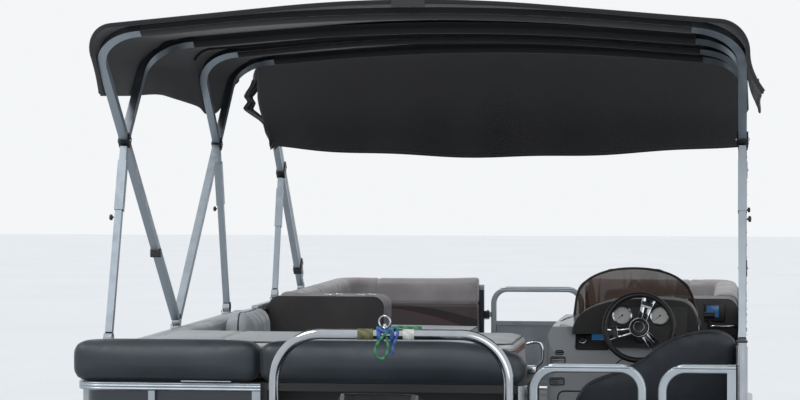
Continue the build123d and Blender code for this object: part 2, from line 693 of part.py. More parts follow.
def steering_wheel():
    """The wheel: a round rim, a hub bored for its shaft, and three flat spokes."""
    plane = Plane(origin=HELM_WHEEL, x_dir=(1, 0, 0), z_dir=-HELM_AXIS)
    section = Plane.XZ * Pos(WHEEL_R - RIM_R, 0) * RegularPolygon(RIM_R, 10)
    wheel = revolve(section, Axis.Z) + Pos(0, 0, -6) * Cylinder(HUB_R, WHEEL_HUB)
    reach = WHEEL_R - RIM_R - HUB_R + 16
    for angle in (0, 180, 270):
        wheel += Rot(0, 0, angle) * Pos(HUB_R - 8 + reach / 2, 0, -4) * Box(reach, 28, 7)
    wheel -= Pos(0, 0, -30) * Cylinder(WHEEL_SHAFT_R + 0.08, 60 + 14)
    return plane * wheel


def throttle():
    """The side control on the console's starboard cheek: its housing and one lever with a grip."""
    x = CONSOLE_X[1]
    y, z = THROTTLE_Y, DECK + THROTTLE_Z
    housing = box(x, x + 34, y - 45, y + 45, z - 60, z + 60)
    housing = fillet(housing.edges().filter_by(Axis.X), 20)
    pivot = rod((x + 34, y, z + 10), (x + 52, y, z + 10), 24)
    lever = rod((x + 44, y, z + 10), (x + 44, y - 20, z + 140), 8)
    grip = rod((x + 20, y - 21, z + 146), (x + 72, y - 21, z + 146), 15)
    return housing + pivot + lever + grip


# Bimini tops


def leg_line(foot, crown):
    """The unit direction, in length and height, from a foot to a crown, and their distance."""
    run = crown[0] - foot[0]
    climb = crown[1] - foot[1]
    length = hypot(run, climb)
    return run / length, climb / length, length


def bow(foot, crown, start):
    """One bow: a square tube bent in the sloping plane through its two feet and its crown."""
    run, climb, length = leg_line(foot, crown)
    drop = CROWN_DROP / climb
    half = FENCE_X
    flat = ((-half, start), (-half, length - drop), (0, length), (half, length - drop), (half, start))
    points = [(u, foot[0] + v * run, DECK + foot[1] + v * climb) for u, v in flat]
    path = FilletPolyline(*points, radius=[BOW_CORNER, CROWN_RADIUS, BOW_CORNER])
    section = Plane(origin=points[0], x_dir=(1, 0, 0), z_dir=(0, run, climb)) * Rectangle(BOW_TUBE, BOW_TUBE)
    return sweep(section, path=path)


def strut(side, start, end, trim_start, trim_end):
    """A straight brace in one side's leg plane, trimmed back from both its end points."""
    run, climb, length = leg_line(start, end)
    x = side * FENCE_X
    a = (x, start[0] + trim_start * run, DECK + start[1] + trim_start * climb)
    b = (x, end[0] - trim_end * run, DECK + end[1] - trim_end * climb)
    reach = hypot(b[1] - a[1], b[2] - a[2])
    shares = [1 - SLEEVE_INSET / reach, 1 - (SLEEVE_INSET + SLEEVE_LENGTH) / reach]
    c, d = [(x, a[1] + (b[1] - a[1]) * share, a[2] + (b[2] - a[2]) * share) for share in shares]
    return bar(a, b, BRACE_TUBE, BRACE_TUBE) + bar(d, c, SLEEVE_TUBE, SLEEVE_TUBE)


def clamp(side, foot, crown, at, deep=0.0):
    """A collar round a leg, at a distance from its foot, deep enough for a second leg above it."""
    run, climb, _ = leg_line(foot, crown)
    plane = Plane(origin=(side * FENCE_X, foot[0] + at * run, DECK + foot[1] + at * climb),
                  x_dir=(1, 0, 0), z_dir=(0, run, climb))
    size = BOW_TUBE + 2 * CLAMP_WALL
    body = plane * Pos(0, deep / 2) * Box(size, size + deep, CLAMP_LENGTH)
    holes = plane * Box(BOW_TUBE, BOW_TUBE, CLAMP_LENGTH + 2)
    if deep:
        holes += plane * Pos(0, deep) * Box(BOW_TUBE, BOW_TUBE, CLAMP_LENGTH + 2)
    return body - holes


def meet(line_a, line_b):
    """How far a second tube's end stays from a leg's centre, so that it meets the leg's collar."""
    turn = abs(line_a[0] * line_b[1] - line_a[1] * line_b[0])
    along = abs(line_a[0] * line_b[0] + line_a[1] * line_b[1])
    return (BOW_TUBE / 2 + CLAMP_WALL) / turn + BOW_TUBE / 2 * along / turn + SEAT_GAP


def on_leg(foot, crown, height):
    """Where a leg passes a height: its length place, and the distance from its foot."""
    run, climb, _ = leg_line(foot, crown)
    at = (height - foot[1]) / climb
    return (foot[0] + at * run, height), at


def rail_foot(side, y):
    """A hinge foot on the side rail: a pad and a round boss that the tubes end at."""
    x = side * FENCE_X
    half = BOW_TUBE / 2
    pad = box(x - half, x + half, y - 55, y + 55, DECK + SIDE_TOP, DECK + SIDE_TOP + FOOT_PAD)
    z = DECK + FOOT_Z
    boss = rod((x - half, y, z), (x + half, y, z), FOOT_R)
    return pad + boss + box(x - half, x + half, y - 14, y + 14, DECK + SIDE_TOP, z)


def canvas_band(crown_height, low, depth, thick):
    """A band of canvas over a crown, seen from the stern, carried along the boat by its depth."""
    lift = BOW_TUBE / 2 * sqrt(2) + SEAT_GAP + thick / 2
    half = FENCE_X + BOW_TUBE / 2 + 1 + thick / 2
    top = DECK + crown_height + lift
    shoulder = top - CROWN_DROP * half / FENCE_X
    points = [(-half, 0, DECK + low), (-half, 0, shoulder), (0, 0, top), (half, 0, shoulder), (half, 0, DECK + low)]
    path = FilletPolyline(*points, radius=[CANVAS_CORNER, CROWN_RADIUS, CANVAS_CORNER])
    section = Plane(origin=points[0], x_dir=(1, 0, 0), z_dir=(0, 0, 1)) * Rectangle(thick, depth)
    return sweep(section, path=path)


def canopy():
    """The open top: one sheet over the four bows, with a skirt whose edge rises between them."""
    aft = TOP_AFT_CROWN[0] - CANOPY_OVERHANG
    fore = TOP_FORE_CROWN[0] + CANOPY_OVERHANG
    sheet = canvas_band(CROWN_Z, SKIRT_LOW, fore - aft, CANVAS)
    sheet = Pos(0, (aft + fore) / 2, 0) * sheet
    # columns: place along the boat and height of the skirt's edge, which climbs beside the legs at both ends
    edge = [(aft - 1, CROWN_Z - 5.0), (TOP_AFT_CROWN[0] + 370, 1671.0), (TOP_FORE_CROWN[0] - 675, 1638.0),
            (TOP_FORE_CROWN[0] - 485, 1642.0), (TOP_FORE_CROWN[0] - 170, 1745.0), (fore + 1, 1800.0)]
    edge = [(y, DECK + z) for y, z in edge]
    middle = ((edge[1][0] + edge[2][0]) / 2, DECK + 1703.0)
    low = DECK + SKIRT_LOW - 20
    outline = [Line(edge[0], edge[1]), ThreePointArc(edge[1], middle, edge[2])]
    outline += Polyline(*edge[2:], (edge[-1][0], low), (edge[0][0], low), edge[0]).edges()
    plane = Plane(origin=(-FENCE_X - 100, 0, 0), x_dir=(0, 1, 0), z_dir=(1, 0, 0))
    return sheet - extrude(plane * make_face(outline), amount=2 * FENCE_X + 200)


def folded_canvas():
    """The second top's canvas: over its two crowns and hanging behind them as a flat curtain."""
    run = leg_line((FOLD_FOOT_Y, FOOT_Z), FOLD_CROWN)[0]
    crown = FOLD_CROWN[1] - FOLD_STEP * run
    hang = FOLD_CROWN[0] - CURTAIN_BEHIND
    cover = Pos(0, hang + COVER_DEPTH / 2, 0) * canvas_band(crown, FLAP_LOW, COVER_DEPTH, CANVAS)
    lift = BOW_TUBE / 2 * sqrt(2) + SEAT_GAP + CANVAS
    top = DECK + crown + lift
    half = FENCE_X + BOW_TUBE / 2 + 1 + CANVAS
    shoulder = top - CROWN_DROP * half / FENCE_X
    low = DECK + CURTAIN_LOW
    outline = make_face(Polyline((-half, DECK + FLAP_LOW), (-half, shoulder), (0, top), (half, shoulder),
                                 (half, DECK + FLAP_LOW), (half - 70, low), (-half + 70, low), close=True))
    corners = [v for v in outline.vertices() if abs(v.Y - shoulder) < 1]
    outline = fillet(corners, CANVAS_CORNER + CANVAS / 2)
    ridge = [v for v in outline.vertices() if abs(v.X) < 1]
    outline = fillet(ridge, CROWN_RADIUS)
    plane = Plane(origin=(0, hang + CURTAIN_THICK, 0), x_dir=(1, 0, 0), z_dir=(0, -1, 0))
    return cover + extrude(plane * outline, amount=CURTAIN_THICK)


def build_tops():
    """The bows, braces, collars and feet of both tops, by node name."""
    tops = {}
    foot = (TOP_FOOT_Y, FOOT_Z)
    clear = FOOT_R + SEAT_GAP
    tops["top_bow_aft"] = [bow(foot, TOP_AFT_CROWN, clear)]
    tops["top_bow_fore"] = [bow(foot, TOP_FORE_CROWN, clear)]
    joints = {}
    for name, crown, aux in (("aft", TOP_AFT_CROWN, TOP_AUX_AFT), ("fore", TOP_FORE_CROWN, TOP_AUX_FORE)):
        knee, at = on_leg(foot, crown, KNEE_Z)
        joints[name] = (crown, knee, at)
        trim = meet(leg_line(foot, crown), leg_line(knee, aux))
        tops["top_aux_bow_" + name] = [bow(knee, aux, trim)]
    braces, collars, feet = [], [], []
    for side in (-1, 1):
        feet.append(rail_foot(side, TOP_FOOT_Y))
        for name, y in (("aft", BRACE_FOOT_AFT), ("fore", BRACE_FOOT_FORE)):
            crown, knee, at = joints[name]
            start = (y, FOOT_Z)
            trim = meet(leg_line(foot, crown), leg_line(start, knee))
            braces.append(strut(side, start, knee, clear, trim))
            collars.append(clamp(side, foot, crown, at))
            feet.append(rail_foot(side, y))

    foot = (FOLD_FOOT_Y, FOOT_Z)
    run, climb, _ = leg_line(foot, FOLD_CROWN)
    first = bow(foot, FOLD_CROWN, clear)
    second_foot = (foot[0] + FOLD_STEP * climb, foot[1] - FOLD_STEP * run)
    second_crown = (FOLD_CROWN[0] + FOLD_STEP * climb, FOLD_CROWN[1] - FOLD_STEP * run)
    tops["folded_bow_lower"] = [first]
    tops["folded_bow_upper"] = [bow(second_foot, second_crown, FOLD_START)]
    knee, at = on_leg(foot, FOLD_CROWN, FOLD_KNEE_Z)
    for side in (-1, 1):
        start = (FOLD_BRACE_FOOT, FOOT_Z)
        trim = meet(leg_line(foot, FOLD_CROWN), leg_line(start, knee))
        braces.append(strut(side, start, knee, clear, trim))
        collars += [clamp(side, foot, FOLD_CROWN, at, FOLD_STEP), clamp(side, foot, FOLD_CROWN, 150, FOLD_STEP)]
        feet += [rail_foot(side, FOLD_FOOT_Y), rail_foot(side, FOLD_BRACE_FOOT)]
    tops["top_braces"] = braces
    tops["top_collars"] = collars
    tops["top_feet"] = feet
    return tops


def light_bracket():
    """The base of the all-round light: a plate on top of the canopy's stern hem and its short socket."""
    y = TOP_AFT_CROWN[0] - CANOPY_OVERHANG
    ridge_loss = CROWN_RADIUS * (1 / cos(atan2(CROWN_DROP, FENCE_X + BOW_TUBE / 2)) - 1)
    z = DECK + CROWN_Z + BOW_TUBE / 2 * sqrt(2) + SEAT_GAP + CANVAS - ridge_loss
    plate = box(-63, 63, y + 6, y + 56, z + 0.3, z + 5)
    socket = rod((0, y + 31, z + 5), (0, y + 31, z + 48), 13)
    bore = rod((0, y + 31, z + 48 - LIGHT_BORE), (0, y + 31, z + 49), LIGHT_BORE_R)
    hook = box(-63, 63, y - 4, y, z - 22, z + 5) + box(-63, 63, y - 4, y + 6, z + 0.3, z + 5)
    return plate + socket + hook - bore


# Outboard, upright


def clamp_bracket():
    """The fixed bracket on the transom: two cheeks, a plate across and the tilt tube."""
    face = STERN_EDGE - POD_BEHIND_DECK - TRANSOM_THICK
    side = [(face, TILT_Z - 370), (face, TILT_Z - 6), (TILT_Y + 10, TILT_Z + 30), (TILT_Y - 30, TILT_Z + 4),
            (TILT_Y - 26, TILT_Z - 60), (face - 40, TILT_Z - 370)]
    cheek = side_view(side, 62, 78)
    hook = box(-78, 78, face, face + 40, TRANSOM_TOP_Z, TRANSOM_TOP_Z + 14)
    back = box(-62, 62, face - 14, face, TILT_Z - 370, TILT_Z - 160)
    join = box(-78, 78, face - 14, face, TRANSOM_TOP_Z, TRANSOM_TOP_Z + 14)
    tube = rod((-100, TILT_Y, TILT_Z), (100, TILT_Y, TILT_Z), TILT_TUBE_R)
    return cheek + mirrored(cheek) + hook + join + back + tube


def swivel():
    """The swivel bracket: a sleeve on the tilt tube and the steering tube behind it."""
    y = TILT_Y - STEER_BEHIND
    sleeve = rod((-57, TILT_Y, TILT_Z), (57, TILT_Y, TILT_Z), 30)
    tube = rod((0, y, STEER_LOW_Z), (0, y, COWL_BASE - STEER_ARM - SEAT_GAP), STEER_TUBE_R)
    web = box(-34, 34, y, TILT_Y, TILT_Z - 26, TILT_Z + 24)
    neck = box(-20, 20, y, TILT_Y - 12, STEER_LOW_Z + 100, TILT_Z)
    body = sleeve + tube + web + neck
    body -= rod((-60, TILT_Y, TILT_Z), (60, TILT_Y, TILT_Z), TILT_TUBE_R + 0.08)
    return body - rod((0, y, STEER_LOW_Z - 10), (0, y, COWL_BASE), STEER_SHAFT_R + 0.08)


def leg():
    """The leg that steers: shaft, two arms, drive housing, plates, gear case and skeg."""
    y = TILT_Y - STEER_BEHIND
    shaft = rod((0, y, STEER_LOW_Z - STEER_ARM), (0, y, COWL_BASE), STEER_SHAFT_R)
    back = y - STEER_TUBE_R - 6
    top_arm = box(-48, 48, back - 60, y + 24, COWL_BASE - STEER_ARM, COWL_BASE)
    low_arm = box(-42, 42, back - 40, y + 22, STEER_LOW_Z - STEER_ARM, STEER_LOW_Z - SEAT_GAP)
    # columns: height, front, back and width of the housing's section
    rows = ((COWL_BASE, back, back - 300, 190), (STEER_LOW_Z - 10, back, back - 190, 130),
            (PLATE_Z, back - 20, back - 190, 76), (PROP_Z + 40, back + 20, back - 175, 46))
    housing = []
    for height, front, rear, width in rows:
        long = front - rear
        plane = Plane(origin=(0, rear, height), x_dir=(0, 1, 0), z_dir=(0, 0, 1))
        half = width / 2
        outline = [(long, 0), (0.85 * long, 0.75 * half), (0.55 * long, half), (0.1 * long, 0.6 * half), (0, 0.2 * half)]
        outline += [(u, -v) for u, v in reversed(outline[1:])]
        housing.append(plane * make_face(Polyline(*outline, close=True)))
    body = loft(housing, ruled=True)
    plates = box(-105, 105, back - 330, back - 10, PLATE_Z - 4, PLATE_Z + 6)
    plates = fillet(plates.edges().filter_by(Axis.Z), 70)
    case_end = back - PROP_BACK
    case = rod((0, case_end, PROP_Z), (0, back + 60, PROP_Z), 54)
    nose = loft([Plane(origin=(0, back + 60, PROP_Z), z_dir=(0, 1, 0)) * Circle(54),
                 Plane(origin=(0, back + 150, PROP_Z), z_dir=(0, 1, 0)) * Circle(14)], ruled=True)
    skeg = side_view([(back + 10, PROP_Z - 40), (back - 70, PROP_Z - 210), (back - 150, PROP_Z - 210),
                      (back - 170, PROP_Z - 40)], -6, 6)
    shaft_end = rod((0, case_end + 10, PROP_Z), (0, case_end - PROP_HUB - 22, PROP_Z), PROP_SHAFT_R)
    return shaft + top_arm + low_arm + body + plates + case + nose + skeg + shaft_end


def cowl():
    """The engine's cowl: a side profile with a falling back, round in plan and over its shoulders."""
    front = TILT_Y + COWL_AHEAD
    rear = front - COWL_LENGTH
    low, high = COWL_BASE, COWL_BASE + COWL_HEIGHT
    view = make_face(Polyline((front - 70, low), (front, low + 60), (front - 20, high - 70), (front - 80, high),
                              (rear + 190, high - 34), (rear + 14, high - 210), (rear, low + 110),
                              (rear + 60, low), close=True))
    view = fillet([v for v in view.vertices() if v.Y > low + 1], 38)
    plane = Plane(origin=(-COWL_WIDTH / 2, 0, 0), x_dir=(0, 1, 0), z_dir=(1, 0, 0))
    body = extrude(plane * view, amount=COWL_WIDTH)
    half = COWL_WIDTH / 2
    top = make_face(Polyline((-half, front), (half, front), (half, front - 220), (half - 60, rear),
                             (-half + 60, rear), (-half, front - 220), close=True))
    top = fillet([v for v in top.vertices() if v.Y > front - 1], COWL_ROUND)
    top = fillet([v for v in top.vertices() if v.Y < rear + 1], 70)
    body = body & (Pos(0, 0, low - 5) * extrude(top, amount=COWL_HEIGHT + 10))
    arch = make_face(Polyline((-half + 66, low), (half - 66, low), (half, low + 60), (half - 26, high),
                              (-half + 26, high), (-half, low + 60), close=True))
    arch = fillet([v for v in arch.vertices() if v.Y > high - 1], 105)
    plane = Plane(origin=(0, front + 10, 0), x_dir=(1, 0, 0), z_dir=(0, -1, 0))
    return body & extrude(plane * arch, amount=COWL_LENGTH + 20)


def propeller():
    """Three ear-shaped blades, each set at its pitch, on a hub that is bored for its shaft."""
    y = TILT_Y - STEER_BEHIND - STEER_TUBE_R - 6 - PROP_BACK - SEAT_GAP
    hub = rod((0, y - PROP_HUB, 0), (0, y, 0), PROP_HUB_R)
    root = PROP_HUB_R - 10
    tip = PROP_R
    ear = [ThreePointArc((-36, root), (-66, 0.55 * tip), (-24, tip - 6)), ThreePointArc((-24, tip - 6), (6, tip), (34, tip - 8)),
           ThreePointArc((34, tip - 8), (70, 0.6 * tip), (38, root)), Line((38, root), (-36, root))]
    plane = Plane(origin=(0, y - PROP_HUB / 2, 0), x_dir=(0, -1, 0), z_dir=(1, 0, 0))
    blade = extrude(plane * make_face(ear), amount=BLADE_THICK / 2, both=True)
    blade = blade.rotate(Axis((0, y - PROP_HUB / 2, 0), (0, 0, 1)), BLADE_PITCH)
    wheel = hub
    for index in range(PROP_BLADES):
        turned = Rotation(0, 360 / PROP_BLADES * index, 0) * blade
        wheel += turned
    wheel -= rod((0, y - PROP_HUB - 1, 0), (0, y + 1, 0), PROP_SHAFT_R + 0.08)
    return Pos(0, 0, PROP_Z) * wheel


def tilted(shape):
    """Turn a piece of the upright motor up about the tilt tube."""
    axis = Axis((0, TILT_Y, TILT_Z), (1, 0, 0))
    return shape.rotate(axis, -TILT_REST)


def place_gate(width, x, y, angle):
    """A gate with its hinge axis at a place in plan, turned to its run."""
    return Pos(x, y, 0) * Rot(0, 0, angle) * gate(width)


if __name__ == "__main__":
    print("deck", DECK, "waterline about 300")
    write("pontoon_port", pontoon(-1))
    write("pontoon_starboard", pontoon(1))
    write("deck_risers", riser(-1), riser(1))
    first = STERN_EDGE + 150
    step = (DECK_LENGTH - 2 * 150 - CHANNEL_WIDTH) / (CHANNEL_COUNT - 1)
    write("cross_members", *[cross_channel(first + step * index) for index in range(CHANNEL_COUNT)])
    write("deck", deck())
    write("deck_trim", deck_trim())
    write("motor_pod", motor_pod())
    panels = {name: fence_panel(*run[:3]) for name, run in FENCES.items()}
    for name, (points, bend, top, posts) in FENCES.items():
        frame = fence(points, bend, top, posts)
        if name == "bow_port":
            frame += hinge_lug(-BOW_GATE_HALF, FENCE_BOW_Y, HINGE_REACH, 0)
        if name == "port_side":
            frame += hinge_lug(-FENCE_X, SIDE_GATE_AFT, 0, HINGE_REACH)
        write("fence_" + name, frame)
    write("panel_bow_port", panels["bow_port"])
    write("panels_port", panels["port_side"], panels["stern_port"])
    write("panel_starboard", panels["starboard"])
    write("fence_stern_starboard", stern_starboard())
    write("stern_posts", corner_post(), latch_post())
    write("tow_bar", tow_bar())
    for name, shape in build_seats().items():
        write(name, *(shape if isinstance(shape, list) else [shape]))
    lounges = {-1: build_lounge(-1), 1: build_lounge(1)}
    for side, label in ((-1, "port"), (1, "starboard")):
        for name in ("base", "seat", "back"):
            write(f"bow_lounge_{label}_{name}", lounges[side][name])
    write("lounge_pods", lounges[-1]["pod"], lounges[1]["pod"])
    for name, shape in helm_bench().items():
        write(name, shape)
    body = console()
    write("console", body)
    pod = dash(body)
    write("dash", pod)
    write("instruments", *instruments())
    write("windscreen", windscreen(body, pod))
    write("steering_wheel", steering_wheel())
    write("throttle", throttle())
    for name, shapes in build_tops().items():
        write(name, *shapes)
    write("canopy", canopy())
    write("folded_canvas", folded_canvas())
    write("light_bracket", light_bracket())
    gap = HINGE_REACH + GATE_FREE_GAP
    write("bow_gate", place_gate(2 * BOW_GATE_HALF - gap, -BOW_GATE_HALF + HINGE_REACH, FENCE_BOW_Y, 0))
    write("stern_gate", place_gate(STERN_GATE_RIGHT - STERN_GATE_LEFT - gap, STERN_GATE_RIGHT - HINGE_REACH,
                                   FENCE_STERN_Y, 180))
    write("side_gate", place_gate(SIDE_GATE_FORE - SIDE_GATE_AFT - gap, -FENCE_X, SIDE_GATE_AFT + HINGE_REACH, 90))
    write("motor_bracket", clamp_bracket())
    write("motor_swivel", tilted(swivel()))
    write("motor_leg", tilted(leg()))
    write("motor_cowl", tilted(cowl()))
    write("propeller", tilted(propeller()))
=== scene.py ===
"""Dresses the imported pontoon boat: vinyl cushions, canvas tops, rail hardware, helm, hull details and stage.

Lengths are metres in the boat's own frame: X to starboard, Y to the bow, Z up, the deck's top at DECK.
"""

import bmesh
import bpy
import numpy as np
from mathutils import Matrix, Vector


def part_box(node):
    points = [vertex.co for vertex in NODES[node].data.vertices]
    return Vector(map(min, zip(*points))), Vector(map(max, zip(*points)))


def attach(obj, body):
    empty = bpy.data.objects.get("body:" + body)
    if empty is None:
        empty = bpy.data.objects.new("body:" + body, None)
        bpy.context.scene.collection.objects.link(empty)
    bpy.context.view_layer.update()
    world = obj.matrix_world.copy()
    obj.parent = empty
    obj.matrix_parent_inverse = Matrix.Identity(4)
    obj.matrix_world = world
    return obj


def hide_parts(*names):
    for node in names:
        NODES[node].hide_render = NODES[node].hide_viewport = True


bl_info = {
    "name": "Pontoon Boat Dressing",
    "version": (1, 0, 0),
    "blender": (4, 5, 0),
    "location": "View3D > Sidebar > Boat",
    "description": "Cushions, canvas, hardware and finishes for the pontoon boat",
    "category": "Object",
}

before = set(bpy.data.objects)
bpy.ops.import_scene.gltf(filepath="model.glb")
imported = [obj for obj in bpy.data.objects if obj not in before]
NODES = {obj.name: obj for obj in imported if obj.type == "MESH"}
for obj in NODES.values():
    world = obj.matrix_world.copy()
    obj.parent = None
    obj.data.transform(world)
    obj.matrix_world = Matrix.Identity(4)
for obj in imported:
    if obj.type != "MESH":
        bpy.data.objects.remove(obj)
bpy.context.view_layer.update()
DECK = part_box("deck")[1].z
MID = (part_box("deck")[0].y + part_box("deck")[1].y) / 2
WATERLINE = 0.30
FLOOR_REACH = 60.0
UP = np.array((0.0, 0.0, 1.0))
MM = 0.001
TINY = 1e-6
ORIGIN = np.zeros(3)
ACROSS = np.array((1.0, 0.0, 0.0))
ALONG = np.array((0.0, 1.0, 0.0))
SIDES = (-1, 1)


def spot(x, y, z):
    """A point given from the middle of the deck and above the deck, in the boat's frame."""
    return np.array((x, MID + y, DECK + z), float)


# Colours and nodes


def linear(code, alpha=1.0):
    """An sRGB hex colour as linear numbers: each channel by the sRGB curve."""
    channels = np.array([int(code[i : i + 2], 16) for i in (1, 3, 5)]) / 255
    curved = np.where(channels <= 0.04045, channels / 12.92, ((channels + 0.055) / 1.055) ** 2.4)
    return (*[float(c) for c in curved], alpha)


def add(tree, kind, inputs=None, **settings):
    """Adds a node, sets its settings, and gives each named input a value or a link."""
    node = tree.nodes.new(kind)
    for key, value in settings.items():
        setattr(node, key, value)
    for key, value in (inputs or {}).items():
        if isinstance(value, bpy.types.NodeSocket):
            tree.links.new(value, node.inputs[key])
        else:
            node.inputs[key].default_value = value
    return node


def finish(name, **sockets):
    """A new material with one shader, whose sockets are set, and the object's coordinates. An underscore in a
    socket's name stands for a space."""
    made = bpy.data.materials.new(name)
    made.use_nodes = True
    tree = made.node_tree
    tree.nodes.clear()
    settings = {key.replace("_", " "): value for key, value in sockets.items()}
    shader = add(tree, "ShaderNodeBsdfPrincipled", settings)
    out = add(tree, "ShaderNodeOutputMaterial")
    tree.links.new(shader.outputs[0], out.inputs["Surface"])
    return made, tree, shader.inputs, add(tree, "ShaderNodeTexCoord").outputs["Object"]


def look(tree, shader, **values):
    """Links values to a shader's sockets. An underscore in a socket's name stands for a space."""
    for key, value in values.items():
        tree.links.new(value, shader[key.replace("_", " ")])


def worked(tree, operation, *values):
    """What a sum gives on values or sockets."""
    return add(tree, "ShaderNodeMath", dict(enumerate(values)), operation=operation).outputs[0]


def within(tree, height, low, high):
    """1 between two heights above the deck, and 0 elsewhere."""
    return worked(tree, "COMPARE", height, DECK + (low + high) / 2, (high - low) / 2)


def tinted(tree, factor, first, second):
    """A colour that goes from one to another by a factor, each given as a hex code or a socket."""
    first, second = (linear(colour) if isinstance(colour, str) else colour for colour in (first, second))
    ends = {"Factor": factor, "A": first, "B": second}
    return add(tree, "ShaderNodeMix", ends, data_type="RGBA").outputs["Result"]


def stepped(tree, value, low, high, first=0.0, last=1.0):
    """A value taken from one range to another and held at its ends."""
    return add(tree, "ShaderNodeMapRange", {"Value": value, "From Min": low, "From Max": high,
                                            "To Min": first, "To Max": last}).outputs["Result"]


def cloudy(tree, where, size, detail=4.0):
    """Soft noise whose lumps are about so many metres across."""
    inputs = {"Vector": where, "Scale": 1 / size, "Detail": detail}
    return add(tree, "ShaderNodeTexNoise", inputs).outputs["Fac"]


def dents(tree, height, distance, strength=1.0, under=None):
    """A bump of that depth in metres, laid over another bump where one is given."""
    inputs = {"Height": height, "Distance": distance, "Strength": strength}
    if under is not None:
        inputs["Normal"] = under
    return add(tree, "ShaderNodeBump", inputs).outputs["Normal"]


# Shapes


def net(rows, columns, wrap_rows=False, wrap_columns=False):
    """The four-sided faces of a grid of points, closed along its rows or columns if asked."""
    r = np.arange(rows if wrap_rows else rows - 1)[:, None]
    c = np.arange(columns if wrap_columns else columns - 1)[None, :]
    r2, c2 = (r + 1) % rows, (c + 1) % columns
    return np.stack([r * columns + c, r * columns + c2, r2 * columns + c2, r2 * columns + c], -1).reshape(-1, 4)


def skinned(rings, closed=False, first=True, last=True):
    """A skin over rings of points: four-sided faces from each to the next, and a cap at either end."""
    rows, columns = rings.shape[:2]
    faces = net(rows, columns, closed, True).tolist()
    if first and not closed:
        faces.append(list(range(columns)))
    if last and not closed:
        faces.append(list(range((rows - 1) * columns, rows * columns)))
    return rings.reshape(-1, 3), faces


def swept(path, profile, closed=False, up=UP):
    """A profile carried along a path: its points go across by path x up, and up by what is square to both."""
    path = np.asarray(path, float)
    ahead = np.roll(path, -1, 0) - np.roll(path, 1, 0) if closed else np.gradient(path, axis=0)
    ahead /= np.linalg.norm(ahead, axis=1)[:, None]
    side = np.cross(ahead, np.broadcast_to(up, path.shape))
    side /= np.linalg.norm(side, axis=1)[:, None]
    top = np.cross(side, ahead)
    profile = np.asarray(profile, float)
    return skinned(path[:, None] + side[:, None] * profile[:, :1] + top[:, None] * profile[:, 1:], closed)


def swollen(part, size):
    """A swept part whose rings are scaled about their middles, each by its own size."""
    rings = part[0].reshape(len(size), -1, 3)
    middle = rings.mean(1, keepdims=True)
    return (middle + (rings - middle) * np.asarray(size)[:, None, None]).reshape(-1, 3), part[1]


def turns(count):
    """So many angles, evenly round a circle."""
    return np.linspace(0, 2 * np.pi, count, endpoint=False)


def circle(radius, count=12):
    """Points of a circle in its own plane."""
    a = turns(count)
    return np.stack([np.cos(a), np.sin(a)], 1) * radius


def rounded(width, height, radius, count=4):
    """Points of a rectangle with quarter-circle corners, centred."""
    a = np.linspace(0, np.pi / 2, count)
    turns = (a[None] + np.array([0, 1, 2, 3])[:, None] * np.pi / 2).ravel()
    signs = np.repeat([(1, 1), (-1, 1), (-1, -1), (1, -1)], count, axis=0)
    core = np.array((width / 2 - radius, height / 2 - radius))
    return signs * core + radius * np.stack([np.cos(turns), np.sin(turns)], 1)


def rod(start, end, radius, count=12):
    """A straight round bar between two points."""
    start, end = np.asarray(start, float), np.asarray(end, float)
    up = UP if abs(end[2] - start[2]) < 0.9 * np.linalg.norm(end - start) else ACROSS
    return swept([start, end], circle(radius, count), up=up)


def around(axis, count):
    """An axis made one long, and so many directions square to it, evenly round it."""
    axis = np.asarray(axis, float) / np.linalg.norm(axis)
    side = np.cross(axis, UP if abs(axis[2]) < 0.9 else ACROSS)
    side /= np.linalg.norm(side)
    a = turns(count)[:, None]
    return axis, np.cos(a) * side + np.sin(a) * np.cross(axis, side)


def lathe(outline, centre, axis, count=32):
    """An outline of (radius, height) pairs turned once round an axis through a centre."""
    axis, ring = around(axis, count)
    outline = np.asarray(outline, float)
    rings = np.asarray(centre) + outline[:, None, :1] * ring + outline[:, None, 1:] * axis
    return skinned(rings, first=outline[0, 0] > TINY, last=outline[-1, 0] > TINY)


def hoop(centre, axis, radius, thick, count=48, section=10):
    """A ring of round section about an axis."""
    axis, ring = around(axis, count)
    return swept(np.asarray(centre) + radius * ring, circle(thick, section), closed=True, up=axis)


def block(low, high, radius, count=4):
    """A box with round edges: its core's corner, by the signs of a direction, plus a ball of that radius."""
    low, high = np.asarray(low, float), np.asarray(high, float)
    centre, half = (low + high) / 2, (high - low) / 2
    radius = min(radius, *half)
    quarter = np.linspace(0, np.pi / 2, count)
    turn = (quarter + np.arange(4)[:, None] * np.pi / 2).ravel()
    tall = np.concatenate([-quarter[::-1], quarter])[:, None]
    wide = np.cos(tall)
    direction = np.stack(np.broadcast_arrays(wide * np.cos(turn), wide * np.sin(turn), np.sin(tall)), -1)
    signs = np.stack(np.broadcast_arrays(np.repeat((1, -1, -1, 1), count), np.repeat((1, 1, -1, -1), count),
                                         np.repeat((-1, 1), count)[:, None]), -1)
    return skinned(centre + signs * (half - radius) + radius * direction)


def turned(part, centre, columns):
    """A part drawn about the origin, put at a centre with its three axes along the given directions."""
    points, faces = part
    return points @ np.array(columns, float) + np.asarray(centre), faces


def bowed(path, count):
    """A smooth line through a few points: each step is found by a cubic through its four nearest ones."""
    path = np.asarray(path, float)
    padded = np.vstack([2 * path[0] - path[1], path, 2 * path[-1] - path[-2]])
    t = np.linspace(0, len(path) - 1, count)
    i = np.minimum(t.astype(int), len(path) - 2)
    f = (t - i)[:, None]
    a, b, c, d = (padded[i + k] for k in range(4))
    return 0.5 * (2 * b + (c - a) * f + (2 * a - 5 * b + 4 * c - d) * f**2 + (3 * b - a - 3 * c + d) * f**3)


def put_in(name, data):
    """An object for some data, linked to the scene."""
    made = bpy.data.objects.new(name, data)
    bpy.context.scene.collection.objects.link(made)
    return made


